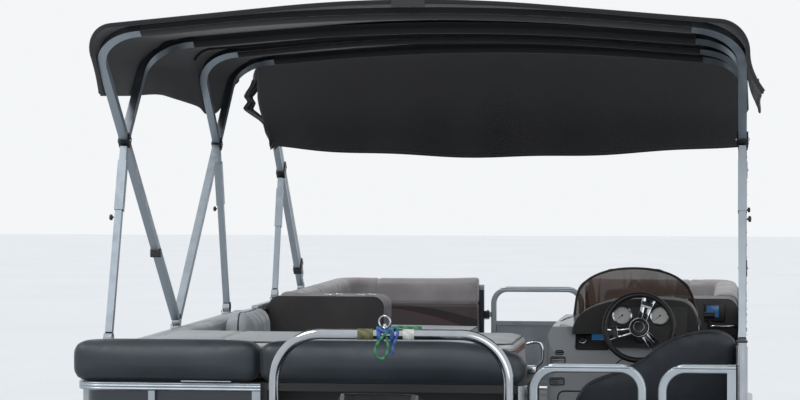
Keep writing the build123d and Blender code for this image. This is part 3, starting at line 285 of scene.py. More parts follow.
def run_along(line):
    """How far along a line each of its points lies."""
    return np.concatenate([[0], np.cumsum(np.linalg.norm(np.diff(line, axis=0), axis=1))])


def sealed(name, points, faces):
    """A mesh with its doubled points merged and its faces turned outward."""
    mesh = bpy.data.meshes.new(name)
    mesh.from_pydata(np.asarray(points).tolist(), [], faces)
    shell = bmesh.new()
    shell.from_mesh(mesh)
    bmesh.ops.remove_doubles(shell, verts=shell.verts, dist=TINY)
    bmesh.ops.recalc_face_normals(shell, faces=shell.faces)
    shell.to_mesh(mesh)
    shell.free()
    return mesh


def piece(name, parts, look_name, body="boat", smooth=40.0, stands_for=()):
    """One mesh object from several parts of points and faces, riding on a body."""
    parts = [parts] if isinstance(parts, tuple) else parts
    points, faces, start = [], [], 0
    for part_points, part_faces in parts:
        points.append(np.asarray(part_points))
        faces += [[int(i) + start for i in face] for face in part_faces]
        start += len(part_points)
    return placed(name, sealed(name, np.vstack(points), faces), look_name, body, smooth, stands_for)


def placed(name, mesh, look_name, body="boat", smooth=40.0, stands_for=()):
    """An object for a mesh, shaded smooth but for its sharp edges, riding on a body."""
    mesh.shade_smooth()
    mesh.set_sharp_from_angle(angle=np.radians(smooth))
    made = put_in(name, mesh)
    made.data.materials.append(FINISH[look_name])
    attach(made, body)
    if stands_for:
        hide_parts(*stands_for)
    return made


# Finishes, each from what the real one is


def clouded(name, colours, size, detail=4.0, rough=None, bump=None, grain=None, **sockets):
    """A finish that follows one soft noise: two colours, a roughness held between two steps, and a bump by
    depth and strength, with a noise of its own where grain gives its size and detail."""
    made, tree, shader, where = finish(name, **sockets)
    haze = cloudy(tree, where, size, detail)
    look(tree, shader, Base_Color=tinted(tree, haze, *colours))
    if rough:
        look(tree, shader, Roughness=stepped(tree, haze, *rough))
    if bump:
        look(tree, shader, Normal=dents(tree, cloudy(tree, where, *grain) if grain else haze, *bump))
    return made


def mill_aluminium():
    """Rolled marine aluminium sheet, left bare: streaks along the roll, and dull clouds of oxide."""
    made, tree, shader, where = finish("mill_aluminium", Metallic=1.0)
    along = add(tree, "ShaderNodeMapping", {"Vector": where, "Scale": (60.0, 1.5, 60.0)}).outputs[0]
    clouds = cloudy(tree, where, 0.35)
    look(tree, shader, Base_Color=tinted(tree, clouds, "#a3a6a9", "#b4b7ba"),
         Roughness=stepped(tree, clouds, 0.3, 0.7, 0.33, 0.5),
         Normal=dents(tree, cloudy(tree, along, 1.0, 6.0), 0.1 * MM))
    return made


# columns: lowest and highest point of a level rail above the deck, and how far it runs to starboard and forward
LEVEL_RAILS = ((0.020, 0.052, 9.0, 9.0), (0.545, 0.577, -0.53, -2.90), (0.640, 0.672, 9.0, 9.0))
FLUTE = 11 * MM


def fluted_aluminium():
    """Clear anodised square tube with flutes in its level rails: satin metal with fine shadow lines."""
    made, tree, shader, where = finish("fluted_aluminium", Metallic=1.0)
    point = add(tree, "ShaderNodeSeparateXYZ", {"Vector": where}).outputs
    level = 0.0
    for low, high, right, ahead in LEVEL_RAILS:
        inside = within(tree, point["Z"], low, high)
        for axis, end in (("X", right), ("Y", MID + ahead)):
            inside = worked(tree, "MULTIPLY", inside, worked(tree, "LESS_THAN", point[axis], end))
        level = worked(tree, "MAXIMUM", inside, level)
    wave = worked(tree, "SINE", worked(tree, "MULTIPLY", point["Z"], 2 * np.pi / FLUTE))
    haze = cloudy(tree, where, 0.08)
    look(tree, shader, Base_Color=tinted(tree, haze, "#939ba2", "#a9b1b7"),
         Roughness=stepped(tree, haze, 0.3, 0.7, 0.3, 0.44),
         Normal=dents(tree, worked(tree, "MULTIPLY", wave, level), 1 * MM))
    return made


def anodised_tube():
    """Clear anodised square tube with plain faces, for the bimini frames: satin, with hazy handling marks."""
    return clouded("anodised_tube", ("#8a939b", "#a2abb3"), 0.06, 6.0, (0.3, 0.7, 0.36, 0.52), (0.15 * MM,),
                   Metallic=1.0)


def extruded_trim():
    """Extruded aluminium edge trim, anodised: smooth satin metal with scuffs from docks."""
    return clouded("extruded_trim", ("#9ba1a6", "#b9bec2"), 0.02, 8.0, (0.35, 0.65, 0.3, 0.5), Metallic=1.0)


def polished_stainless():
    """Polished stainless tube: mirror metal with a faint cloud of fingerprints."""
    return clouded("polished_stainless", ("#a4a9ae", "#b8bcc0"), 0.05, rough=(0.4, 0.8, 0.08, 0.2),
                   Metallic=1.0)


def enamelled_sheet():
    """Coil-coated aluminium sheet: glossy enamel with faint waves where the sheet bows."""
    made, tree, shader, where = finish("navy_enamel", Roughness=0.3, Coat_Weight=0.5, Coat_Roughness=0.08)
    waves = cloudy(tree, where, 0.3, 2.0)
    under = dents(tree, waves, 8 * MM, 0.35)
    look(tree, shader, Base_Color=tinted(tree, waves, "#16202c", "#1e2a38"),
         Normal=dents(tree, cloudy(tree, where, 6 * MM, 2.0), 0.15 * MM, under=under))
    return made


def marine_vinyl(name, pale, dark, bands=(), stripes=(), start=-9.0):
    """Expanded marine vinyl: pebbled grain about 1.2 mm across, drawn at 4 mm so that it shows, and soft sheen.
    Bands and stripes of other colours may be sewn in."""
    made, tree, shader, where = finish(name, Specular_IOR_Level=0.45, Sheen_Weight=0.12, Sheen_Roughness=0.4)
    grain = add(tree, "ShaderNodeTexVoronoi", {"Vector": where, "Scale": 1 / (4 * MM)}).outputs["Distance"]
    folds = cloudy(tree, where, 0.06, 5.0)
    colour = tinted(tree, stepped(tree, cloudy(tree, where, 0.22, 3.0), 0.35, 0.7), pale, dark)
    if bands:
        colour = sewn_in(tree, where, colour, bands, stripes, start)
    look(tree, shader, Base_Color=colour, Roughness=stepped(tree, folds, 0.3, 0.7, 0.42, 0.58),
         Normal=dents(tree, grain, 0.4 * MM, 0.6, dents(tree, folds, 3.5 * MM, 0.45)))
    return made


def sewn_in(tree, where, colour, bands, stripes, start):
    """Colours sewn edge to edge: level bands, each from one height above the deck to another and none further
    to port than start, and over them curved stripes that fall by drop x t^2 from left to right and widen."""
    point = add(tree, "ShaderNodeSeparateXYZ", {"Vector": where}).outputs
    reached = stepped(tree, point["X"], start, start + 1 * MM)
    for low, high, code in bands:
        inside = worked(tree, "MULTIPLY", within(tree, point["Z"], low, high), reached)
        colour = tinted(tree, inside, colour, code)
    for left, right, top, drop, thin, thick, code in stripes:
        t = stepped(tree, point["X"], left, right)
        middle = stepped(tree, worked(tree, "MULTIPLY", t, t), 0.0, 1.0, DECK + top, DECK + top - drop)
        inside = worked(tree, "COMPARE", point["Z"], middle, stepped(tree, t, 0, 1, thin, thick))
        colour = tinted(tree, inside, colour, code)
    return colour


def rotomoulded_base():
    """Rotomoulded polyethylene: chalky, with a fine orange peel and clouds of rub marks."""
    return clouded("rotomoulded_base", ("#a5a39d", "#8d8b86"), 0.1, bump=(0.3 * MM,), grain=(3 * MM, 2.0),
                   Roughness=0.6)


def loop_carpet():
    """Low loop marine carpet: tufts about 3 mm across in rows, drawn at 5 mm, mottled by tread."""
    made, tree, shader, where = finish("loop_carpet", Roughness=0.95, Sheen_Weight=0.25)
    tufts = add(tree, "ShaderNodeTexVoronoi", {"Vector": where, "Scale": 1 / (5 * MM)}).outputs["Distance"]
    look(tree, shader, Base_Color=tinted(tree, cloudy(tree, where, 0.25, 5.0), "#56585b", "#6c6e70"),
         Normal=dents(tree, tufts, 2.5 * MM))
    return made


def wave_scale(length):
    """A wave texture's scale for half waves so many metres long: at scale 1 a whole wave takes 2 pi / 20 m."""
    return np.pi / (20 * length)


def acrylic_canvas():
    """Solution-dyed acrylic canvas, woven: plain weave of 0.8 mm threads, drawn at 4 mm so that it shows."""
    made, tree, shader, where = finish("acrylic_canvas", Roughness=0.9, Sheen_Weight=0.3, Sheen_Roughness=0.5)
    cloth = {"Vector": where.node.outputs["UV"], "Scale": wave_scale(4 * MM)}
    warp, weft = (add(tree, "ShaderNodeTexWave", cloth, bands_direction=direction).outputs["Fac"]
                  for direction in ("X", "Y"))
    creases = dents(tree, cloudy(tree, where, 0.12, 5.0), 6 * MM, 0.35)
    look(tree, shader, Base_Color=tinted(tree, cloudy(tree, where, 0.3), "#0c0c0f", "#151519"),
         Normal=dents(tree, worked(tree, "MULTIPLY", warp, weft), 0.5 * MM, 0.8, creases))
    return made


def moulded_nylon(name, dark, pale, rough):
    """Glass-filled nylon, injection moulded: satin black with a fine spark-eroded grain."""
    return clouded(name, (dark, pale), 1.5 * MM, 2.0, bump=(0.12 * MM,), Roughness=rough)


def gelcoat():
    """Polyester gelcoat sprayed in a mould: deep gloss, very slightly wavy, pale grey-white."""
    return clouded("gelcoat", ("#c6cacd", "#b9bec2"), 0.2, bump=(1.2 * MM, 0.3), Roughness=0.22,
                   Coat_Weight=0.4, Coat_Roughness=0.06)


def smoked_acrylic():
    """Cast smoked acrylic: clear bronze sheet, glossy on both faces."""
    return clouded("smoked_acrylic", ("#5a3d28", "#5a3d28"), 0.05, rough=(0.3, 0.9, 0.03, 0.06), Alpha=0.66)


def plain_enamel(name, dark, pale, rough):
    """Sprayed enamel: even gloss, with a little orange peel and dust."""
    return clouded(name, (dark, pale), 0.15, 6.0, (0.35, 0.7, rough, rough + 0.15), (0.1 * MM,), (5 * MM, 2.0))


def lit_screen():
    """A small liquid crystal screen, lit from behind: dim blue with a fine grid of cells."""
    made, tree, shader, where = finish("lit_screen", Roughness=0.15, Base_Color=linear("#1b3d66"),
                                       Emission_Color=linear("#4f9be0"), Emission_Strength=0.15)
    cells = add(tree, "ShaderNodeTexVoronoi", {"Vector": where, "Scale": 1 / (3 * MM)}).outputs["Distance"]
    look(tree, shader, Normal=dents(tree, cells, 0.05 * MM))
    return made


def laid_rope(name, dark, pale):
    """Polypropylene rope, three strands laid with a right-hand twist: slanting grooves and bright fibres."""
    made, tree, shader, where = finish(name, Roughness=0.6)
    wave = add(tree, "ShaderNodeTexWave", {"Vector": where, "Scale": wave_scale(9 * MM), "Distortion": 2.0},
               bands_direction="DIAGONAL").outputs["Fac"]
    look(tree, shader, Base_Color=tinted(tree, wave, dark, pale), Normal=dents(tree, wave, 1.5 * MM))
    return made


# columns: where a stripe starts and ends to starboard, its height at the start, its fall, half its width at the
# start and the end, its colour
STRIPES = ((-0.955, -0.35, 0.545, 0.11, 0.006, 0.036, "#5b1d26"),
           (-0.955, -0.35, 0.549, 0.11, 0.006, 0.034, "#1b1416"))


def all_finishes():
    """Every material, by the record's slot or by the name its pieces use."""
    return {
        "hull_aluminium": mill_aluminium(),
        "deck_carpet": loop_carpet(),
        "trim_aluminium": extruded_trim(),
        "rail_anodised": fluted_aluminium(),
        "bimini_tube": anodised_tube(),
        "fence_sheet": enamelled_sheet(),
        "polished_tube": polished_stainless(),
        "black_canvas": acrylic_canvas(),
        "black_plastic": moulded_nylon("moulded_nylon", "#141416", "#222225", 0.5),
        "vinyl_charcoal": marine_vinyl("charcoal_vinyl", "#2a323a", "#1f262d"),
        "vinyl_cream": marine_vinyl("pale_grey_vinyl", "#aab0b5", "#989ea3"),
        "vinyl_taupe": marine_vinyl("taupe_vinyl", "#3a3637", "#2c292b"),
        "vinyl_two_tone": marine_vinyl("two_tone_vinyl", "#8f8a8b", "#7f7a7b",
                                       ((0.0, 0.562, "#3f3637"),), STRIPES),
        "vinyl_striped": marine_vinyl("striped_vinyl", "#b2b6b8", "#a2a6a9",
                                      ((0.672, 0.694, "#6b1626"), (0.697, 0.701, "#8f7a48")), start=-0.60),
        "seat_base": rotomoulded_base(),
        "gelcoat": gelcoat(),
        "dash_black": moulded_nylon("grained_abs", "#09090b", "#111114", 0.5),
        "gauge": plain_enamel("dial_face", "#c3c6c2", "#d2d4d0", 0.2),
        "smoked_screen": smoked_acrylic(),
        "wheel_rim": moulded_nylon("cast_urethane", "#0e0e10", "#19191c", 0.45),
        "motor_paint": plain_enamel("gloss_enamel", "#0d0e10", "#16171a", 0.12),
        "motor_cast": plain_enamel("painted_casting", "#141518", "#1f2024", 0.4),
        "prop_steel": polished_stainless(),
        "lit_screen": lit_screen(),
        "green_rope": laid_rope("green_rope", "#1f5a3c", "#3e8a5f"),
        "blue_rope": laid_rope("blue_rope", "#1f3f7a", "#3e68ad"),
        "olive_tape": laid_rope("olive_tape", "#55543a", "#6d6b4c"),
        "white_tape": laid_rope("white_tape", "#b9bab6", "#d0d1cd"),
    }


FINISH = {}


def paint_frame():
    """Gives every CAD node the finish of its slot in the record."""
    slots = {}
    for name, node in NODES.items():
        slots[name] = node.data.materials[0].name.split(".")[0]
        node.data.materials.clear()
        plain = name.startswith(("top_bow", "top_aux", "top_braces", "folded_bow"))
        node.data.materials.append(FINISH["bimini_tube" if plain else slots[name]])
    return slots


# Cushions


def island_meshes(node):
    """A CAD node's solids as separate closed meshes, with their doubled points merged."""
    shell = bmesh.new()
    shell.from_mesh(NODES[node].data)
    bmesh.ops.remove_doubles(shell, verts=shell.verts, dist=1e-5)
    left, meshes = set(shell.verts), []
    while left:
        reached, edge = set(), [next(iter(left))]
        while edge:
            corner = edge.pop()
            if corner not in reached:
                reached.add(corner)
                edge += [e.other_vert(corner) for e in corner.link_edges]
        left -= reached
        order = {v: i for i, v in enumerate(reached)}
        faces = [[order[v] for v in f.verts] for f in shell.faces if f.verts[0] in reached]
        mesh = bpy.data.meshes.new(node)
        mesh.from_pydata([v.co[:] for v in order], [], faces)
        meshes.append(mesh)
    shell.free()
    return meshes


def corners_of(mesh):
    """The points of a mesh as an array."""
    flat = np.zeros(len(mesh.vertices) * 3, np.float32)
    mesh.vertices.foreach_get("co", flat)
    return flat.reshape(-1, 3).astype(float)


def put_corners(mesh, points):
    """Gives a mesh new places for its points."""
    mesh.vertices.foreach_set("co", points.astype(np.float32).ravel())


def normals_of(mesh):
    """The point normals of a mesh as an array."""
    flat = np.zeros(len(mesh.vertices) * 3, np.float32)
    mesh.vertex_normals.foreach_get("vector", flat)
    return flat.reshape(-1, 3).astype(float)


def evaluated(made):
    """The mesh that an object's modifiers give."""
    graph = bpy.context.evaluated_depsgraph_get()
    return bpy.data.meshes.new_from_object(made.evaluated_get(graph))


VOXEL = 0.014
SHRINK = 5 * MM
WELT = 4 * MM
PRESSURE = 4.0
STUFFING = 20  # frames
FIRM = 0.06
BULGE = 2 * MM
CHANNEL = (7 * MM, 9 * MM)  # depth and width of a sewn one
END_START, END_RUN, END_FALL, END_LOW, END_TALL = 0.12, 0.33, 0.048, 0.60, 0.13


class Cushion:
    """One padded solid on its way from the CAD form to the sewn cushion."""

    def __init__(self, mesh, voxel=VOXEL):
        self.box = corners_of(mesh).min(0), corners_of(mesh).max(0)
        self.made = put_in("padding", mesh)
        skin = self.made.modifiers.new("skin", "REMESH")
        skin.mode = "VOXEL"
        skin.voxel_size = voxel
        body = evaluated(self.made)
        self.made.modifiers.clear()
        self.made.data = body
        points = corners_of(body)
        points -= normals_of(body) * SHRINK
        put_corners(body, points)
        self.rest = points

    def inflate(self):
        """Adds the pressure that fills the cover."""
        cloth = self.made.modifiers.new("stuffing", "CLOTH")
        cloth.settings.quality = 3
        cloth.settings.use_pressure = True
        cloth.settings.uniform_pressure_force = PRESSURE
        cloth.settings.effector_weights.gravity = 0.0
        cloth.point_cache.frame_start = 1
        cloth.point_cache.frame_end = STUFFING

    def settle(self, cap):
        """Keeps the swelling under the cap, less low down than on top, then fits it to the solid's own box."""
        if self.made.modifiers:
            moved = corners_of(evaluated(self.made)) - self.rest
        else:
            moved = normals_of(self.made.data) * cap
        length = np.linalg.norm(moved, axis=1)[:, None] + 1e-9
        moved *= np.minimum(1, cap / length)
        low, high = self.rest[:, 2].min(), self.rest[:, 2].max()
        rise = np.clip((self.rest[:, 2] - low) / min(FIRM, high - low), 0, 1)[:, None]
        self.made.modifiers.clear()
        points = self.rest + moved * (0.15 + 0.85 * rise)
        put_corners(self.made.data, points)
        finer = self.made.modifiers.new("finer", "SUBSURF")
        finer.levels = finer.render_levels = 1
        self.made.data = evaluated(self.made)
        self.made.modifiers.clear()
        points = corners_of(self.made.data)
        low, high = points.min(0), points.max(0)
        wide = np.array((BULGE, BULGE, 0.0))
        points = self.box[0] - wide + (points - low) / (high - low) * (self.box[1] - self.box[0] + 2 * wide)
        put_corners(self.made.data, points)


def pressed(mesh, axis, places, depth, width):
    """Sewn channels: points near a plane sink along their normals by depth x exp(-(distance / width)^2)."""
    points, normals = corners_of(mesh), normals_of(mesh)
    for place in places:
        away = (points[:, axis] - place) / width
        points -= normals * (depth * np.exp(-(away**2)) * (1 - np.abs(normals[:, axis])))[:, None]
    put_corners(mesh, points)
    mesh.update()


def slope_end(mesh):
    """Lowers a bolster's starboard end: its upper part sinks by END_FALL x t^2 over the last END_RUN."""
    points = corners_of(mesh)
    t = np.clip((points[:, 0] - END_START) / END_RUN, 0, 1)
    points[:, 2] -= END_FALL * t**2 * np.clip((points[:, 2] - DECK - END_LOW) / END_TALL, 0, 1)
    put_corners(mesh, points)
    mesh.update()


def cut_loops(mesh, point, normal, least=20):
    """The closed lines where a plane cuts a mesh, as ordered points, leaving out the shortest."""
    shell = bmesh.new()
    shell.from_mesh(mesh)
    everything = shell.verts[:] + shell.edges[:] + shell.faces[:]
    cut = bmesh.ops.bisect_plane(shell, geom=everything, plane_co=point, plane_no=normal)
    beside = {}
    for part in cut["geom_cut"]:
        if isinstance(part, bmesh.types.BMEdge):
            first, last = part.verts
            beside.setdefault(first, []).append(last)
            beside.setdefault(last, []).append(first)
    loops = []
    while beside:
        here = next(iter(beside))
        line = []
        while here is not None:
            line.append(here.co[:])
            ahead = [v for v in beside.pop(here) if v in beside]
            here = ahead[0] if ahead else None
        if len(line) > least:
            loops.append(np.array(line))
    shell.free()
    return loops


def evened(line, step, smooth=2):
    """A closed line with its points a step apart and its kinks averaged away."""
    ring = np.vstack([line, line[:1]])
    run = run_along(ring)
    count = max(12, int(run[-1] / step))
    at = np.linspace(0, run[-1], count, endpoint=False)
    even = np.stack([np.interp(at, run, ring[:, k]) for k in range(3)], 1)
    for _ in range(smooth):
        even = (np.roll(even, 1, 0) + 2 * even + np.roll(even, -1, 0)) / 4
    return even


# columns: node, finish, cap on swelling, sewn channels as (axis, places), welts as (axis, places)
# Places are from the middle of the deck and above the deck; an axis is 0, 1 or 2 for X, Y or Z.
CUSHIONS = (
    ("sun_pad", "vinyl_striped", 12, [(0, (-0.72, -0.36, 0.02))], [(2, (0.716,)), (2, (0.597,))]),
    ("aft_bolsters", "vinyl_charcoal", 7, [], [(1, (-2.935,))]),
    ("port_bench_seat", "vinyl_cream", 10, [(1, (-1.82, -1.28, -0.73))], [(2, (0.425,))]),
    ("port_bench_back", "vinyl_cream", 8, [(1, (-1.82, -1.28, -0.73)), (2, (0.56,))], []),
    ("bow_lounge_port_seat", "vinyl_cream", 10, [(1, (1.75,))], [(2, (0.425,))]),
    ("bow_lounge_starboard_seat", "vinyl_cream", 10, [(1, (1.75,))], [(2, (0.425,))]),
    ("bow_lounge_port_back", "vinyl_two_tone", 8, [(1, (1.75, 2.35)), (0, (-0.93,)), (2, (0.562,))], []),
    ("bow_lounge_starboard_back", "vinyl_two_tone", 8, [(1, (1.75, 2.35)), (0, (0.93,)), (2, (0.562,))], []),
    ("helm_bench_seat", "vinyl_cream", 10, [(0, (0.89,))], [(2, (0.425,))]),
    ("helm_bench_back", "vinyl_charcoal", 7, [], [(1, (-1.965,)), (1, (-1.905,))]),
)
# columns: lowest and highest corner of the loose pillow on the port bench, its edges' round
PILLOW = ((-1.074, -1.10, 0.444), (-0.940, -0.60, 0.722), 0.06)
PILLOW_ROW = ("pillow", "vinyl_cream", 9, [(1, (-0.95, -0.85, -0.75))], [(0, (-1.007,))])


def from_deck(axis, place):
    """A place given from the middle of the deck, or above the deck, in the boat's frame."""
    return place + (0.0, MID, DECK)[axis]


def sew_cushions():
    """Stuffs all the cushions at once, then sews their channels and welts."""
    cushions = {}
    for node, *_ in CUSHIONS:
        cushions[node] = [Cushion(mesh, VOXEL * (1)) for mesh in island_meshes(node)]
    low, high, round_ = PILLOW
    cushions["pillow"] = [Cushion(sealed("pillow", *block(spot(*low), spot(*high), round_, 6)))]
    for group in cushions.values():
        for cushion in group:
            cushion.inflate()
    for step in range(1, STUFFING + 1):
        bpy.context.scene.frame_set(step)
    for node, finish_name, cap, channels, welts in (*CUSHIONS, PILLOW_ROW):
        group = cushions[node]
        for cushion in group:
            cushion.settle(cap * MM)
            if node == "aft_bolsters":
                slope_end(cushion.made.data)
            for axis, places in channels:
                pressed(cushion.made.data, axis, [from_deck(axis, p) for p in places], *CHANNEL)
        parts = []
        for cushion in group:
            mesh = cushion.made.data
            parts.append((corners_of(mesh), [list(f.vertices) for f in mesh.polygons]))
        stands_for = (node,) if node in NODES else ()
        made = piece(f"{node}_cover", parts, finish_name, smooth=180, stands_for=stands_for)
        lines = []
        for axis, places in welts:
            for place in places:
                point, normal = [0.0, 0.0, 0.0], [0.0, 0.0, 0.0]
                point[axis], normal[axis] = from_deck(axis, place), 1.0
                for loop in cut_loops(made.data, point, normal):
                    lines.append(swept(evened(loop, 0.01), circle(WELT, 8), True, np.array(normal)))
        if lines:
            piece(f"{node}_welt", lines, "vinyl_taupe")
        for cushion in group:
            bpy.data.objects.remove(cushion.made)
    bpy.context.scene.frame_set(1)


# Canvas


INSET = 2.5 * MM
BOW_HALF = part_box("canopy")[1].x - INSET
TOP_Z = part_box("canopy")[1].z
CROWN_DROP = 0.105
CROWN_ROUND = 6.0
SHOULDER_ROUND = 0.11
CLOTH = 2.2 * MM
SLACK = 0.014
HEM, HEM_THICK, HEM_ROUND = 18 * MM, 5 * MM, 2 * MM


def over_bow(count, half=BOW_HALF):
    """The line over a bow: a quarter round at each shoulder, straight slopes, and a ridge rounded to 6 m."""
    slope = np.arctan2(CROWN_DROP, half)
    lift = CROWN_ROUND * (1 / np.cos(slope) - 1)
    inner = half - SHOULDER_ROUND
    centre = np.array((inner, lift - CROWN_DROP * inner / half - SHOULDER_ROUND / np.cos(slope)))
    a = np.linspace(0, np.pi / 2 - slope, 12)
    corner = centre + SHOULDER_ROUND * np.stack([np.cos(a), np.sin(a)], 1)
    x = np.linspace(corner[-1, 0], -corner[-1, 0], count)
    near = np.abs(x) < CROWN_ROUND * np.sin(slope)
    z = np.where(near, -(x**2) / (2 * CROWN_ROUND), lift - CROWN_DROP * np.abs(x) / half)
    return np.vstack([corner, np.stack([x, z], 1)[1:-1], corner[::-1] * (-1, 1)])


def with_skirts(body, starboard, port):
    """One grid of a canvas's body and its skirts, which are drawn from their lower edges up."""
    return np.concatenate([starboard[:-1], body, port[::-1][1:]])


def draped(y, low_starboard, low_port, flare):
    """A canvas band: the line over a bow, and skirts that hang straight from its shoulders. Points run from
    starboard to port down the rows, and along the boat across the columns."""
    line = over_bow(90)
    body = np.stack(np.broadcast_arrays(line[:, :1], y, FOLD_TOP - INSET + line[:, 1:]), -1)
    t = np.linspace(0, 1, FOLD_ROWS)[:, None]
    skirts = []
    for side, low in ((1, low_starboard), (-1, low_port)):
        z = low * (1 - t) + body[0, :, 2] * t
        skirts.append(np.stack(np.broadcast_arrays(side * (BOW_HALF + flare * (1 - t)), y, z), -1))
    return with_skirts(body, *skirts)


def slanted_top(columns=120):
    """The open top's surface. Over the bows its stern edge runs forward as it falls, beside the sloping legs.
    Each skirt is ruled from the shoulder line down to a smooth line through the table of its lower edge,
    and flares outward by the square of the way down."""
    line = over_bow(90)
    along = np.linspace(0, 1, columns)
    aft = HEM_AFT + LEG_SLOPE * (-line[:, 1])
    y = aft[:, None] + (SKIRT_EDGE[-1][0] - aft)[:, None] * along
    slack = between_bows(y)
    rise = np.sin(np.pi * np.linspace(0, 1, len(line))) ** 0.4
    x = np.broadcast_to(line[:, :1], y.shape)
    body = np.stack([x, y, TOP_Z - DECK - INSET + line[:, 1:] - SLACK * slack * rise[:, None]], -1)
    low = bowed(SKIRT_EDGE, columns)
    skirts = []
    t = np.linspace(0, 1, 18)[:, None]
    for side, flare in FLARES:
        top = body[0 if side > 0 else -1]
        y = top[:, 1] * t + low[:, 0] * (1 - t)
        z = top[:, 2] * t + low[:, 1] * (1 - t)
        folds = 5 * MM * np.sin(9 * y) * (1 - t) * between_bows(y)
        skirts.append(np.stack([side * (BOW_HALF + flare * (1 - t) ** 2 + folds), y, z], -1))
    return with_skirts(body, *skirts) + (0, MID, DECK)


def canvas_sheet(name, grid, stands_for=()):
    """A sheet of canvas from a grid of points, with UV in metres along the cloth, and its thickness."""
    rows, columns = grid.shape[:2]
    mesh = bpy.data.meshes.new(name)
    mesh.from_pydata(grid.reshape(-1, 3).tolist(), [], net(rows, columns).tolist())
    lengths = run_along(grid[:, columns // 2]), run_along(grid[rows // 2])
    uv = np.stack(np.meshgrid(*lengths, indexing="ij"), -1).reshape(-1, 2)
    corner = np.zeros(len(mesh.loops), np.int32)
    mesh.loops.foreach_get("vertex_index", corner)
    mesh.uv_layers.new(name="cloth").data.foreach_set("uv", uv[corner].astype(np.float32).ravel())
    made = placed(name, mesh, "black_canvas", smooth=180, stands_for=stands_for)
    wall = made.modifiers.new("cloth", "SOLIDIFY")
    wall.thickness = CLOTH
    wall.offset = 0.0
    steps = np.linalg.norm(np.cross(grid[1:, :-1] - grid[:-1, :-1], grid[:-1, 1:] - grid[:-1, :-1]), axis=-1)
    return made, float(steps.sum())


# columns: side, and how far its skirt's lower edge stands out from the shoulder
FLARES = ((1, 0.055), (-1, 0.012))
# columns: place along the boat from mid deck and height above the deck, along the skirt's lower edge
SKIRT_EDGE = ((-2.560, 1.671), (-2.03, 1.685), (-1.52, 1.703), (-1.02, 1.685), (-0.667, 1.666), (-0.505, 1.640),
              (-0.315, 1.644), (-0.143, 1.687), (0.0, 1.744), (0.204, 1.800))
HEM_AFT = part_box("canopy")[0].y - MID
LEG_SLOPE = 1.12
BOWS = (-2.930, -1.750, -0.950, 0.170)


def between_bows(y):
    """0 on a bow and 1 midway between two, along the boat."""
    t = np.interp(y, BOWS, range(len(BOWS)))
    return np.sin(np.pi * (t - np.floor(t))) ** 2 * (y > BOWS[0]) * (y < BOWS[-1])


def rig_open_top():
    """The open bimini: one sheet over four bows, with skirts, bound hems and seams over the bows."""
    grid = slanted_top()
    made, area = canvas_sheet("bimini_canvas", grid, ("canopy",))
    edges = [grid[0], grid[-1], grid[:, 0], grid[:, -1]]
    hems = [swept(edge, rounded(HEM_THICK, HEM, HEM_ROUND, 3)) for edge in edges[:2]]
    hems += [swept(edge, rounded(HEM, HEM_THICK, HEM_ROUND, 3), up=ALONG) for edge in edges[2:]]
    hems = piece("bimini_hems", hems, "black_canvas")
    seams = []
    body = np.arange(20, len(grid) - 20)
    for place in BOWS[1:3]:
        nearest = np.argmin(np.abs(grid[body, :, 1] - MID - place), axis=1)
        strip = grid[body, nearest] + 1.2 * MM * UP
        seams.append(swept(strip[::2], rounded(26 * MM, 2.5 * MM, 1 * MM, 3), up=ALONG))
    seams = piece("bimini_seams", seams, "black_canvas")
    sew_pockets()


FOLD_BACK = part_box("folded_canvas")[0].y
FOLD_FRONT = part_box("folded_canvas")[1].y
FOLD_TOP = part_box("folded_canvas")[1].z
FOLD_ROWS = 40
# columns: height above the deck and distance from the middle, down the crumpled port end of the cover
PORT_FLAP = ((1.47, 1.165), (1.60, 1.205), (1.68, 1.310), (1.712, 1.288), (1.742, 1.310), (1.80, 1.270),
             (1.86, 1.262))
FLAP_TOP = 1.90
# the curtain's lower edge: its height amid above the deck, its rise to the ends, and a reach of 1.2 m
CURTAIN_FOOT, CURTAIN_RISE, CURTAIN_REACH = 1.436, 0.052, 1.2


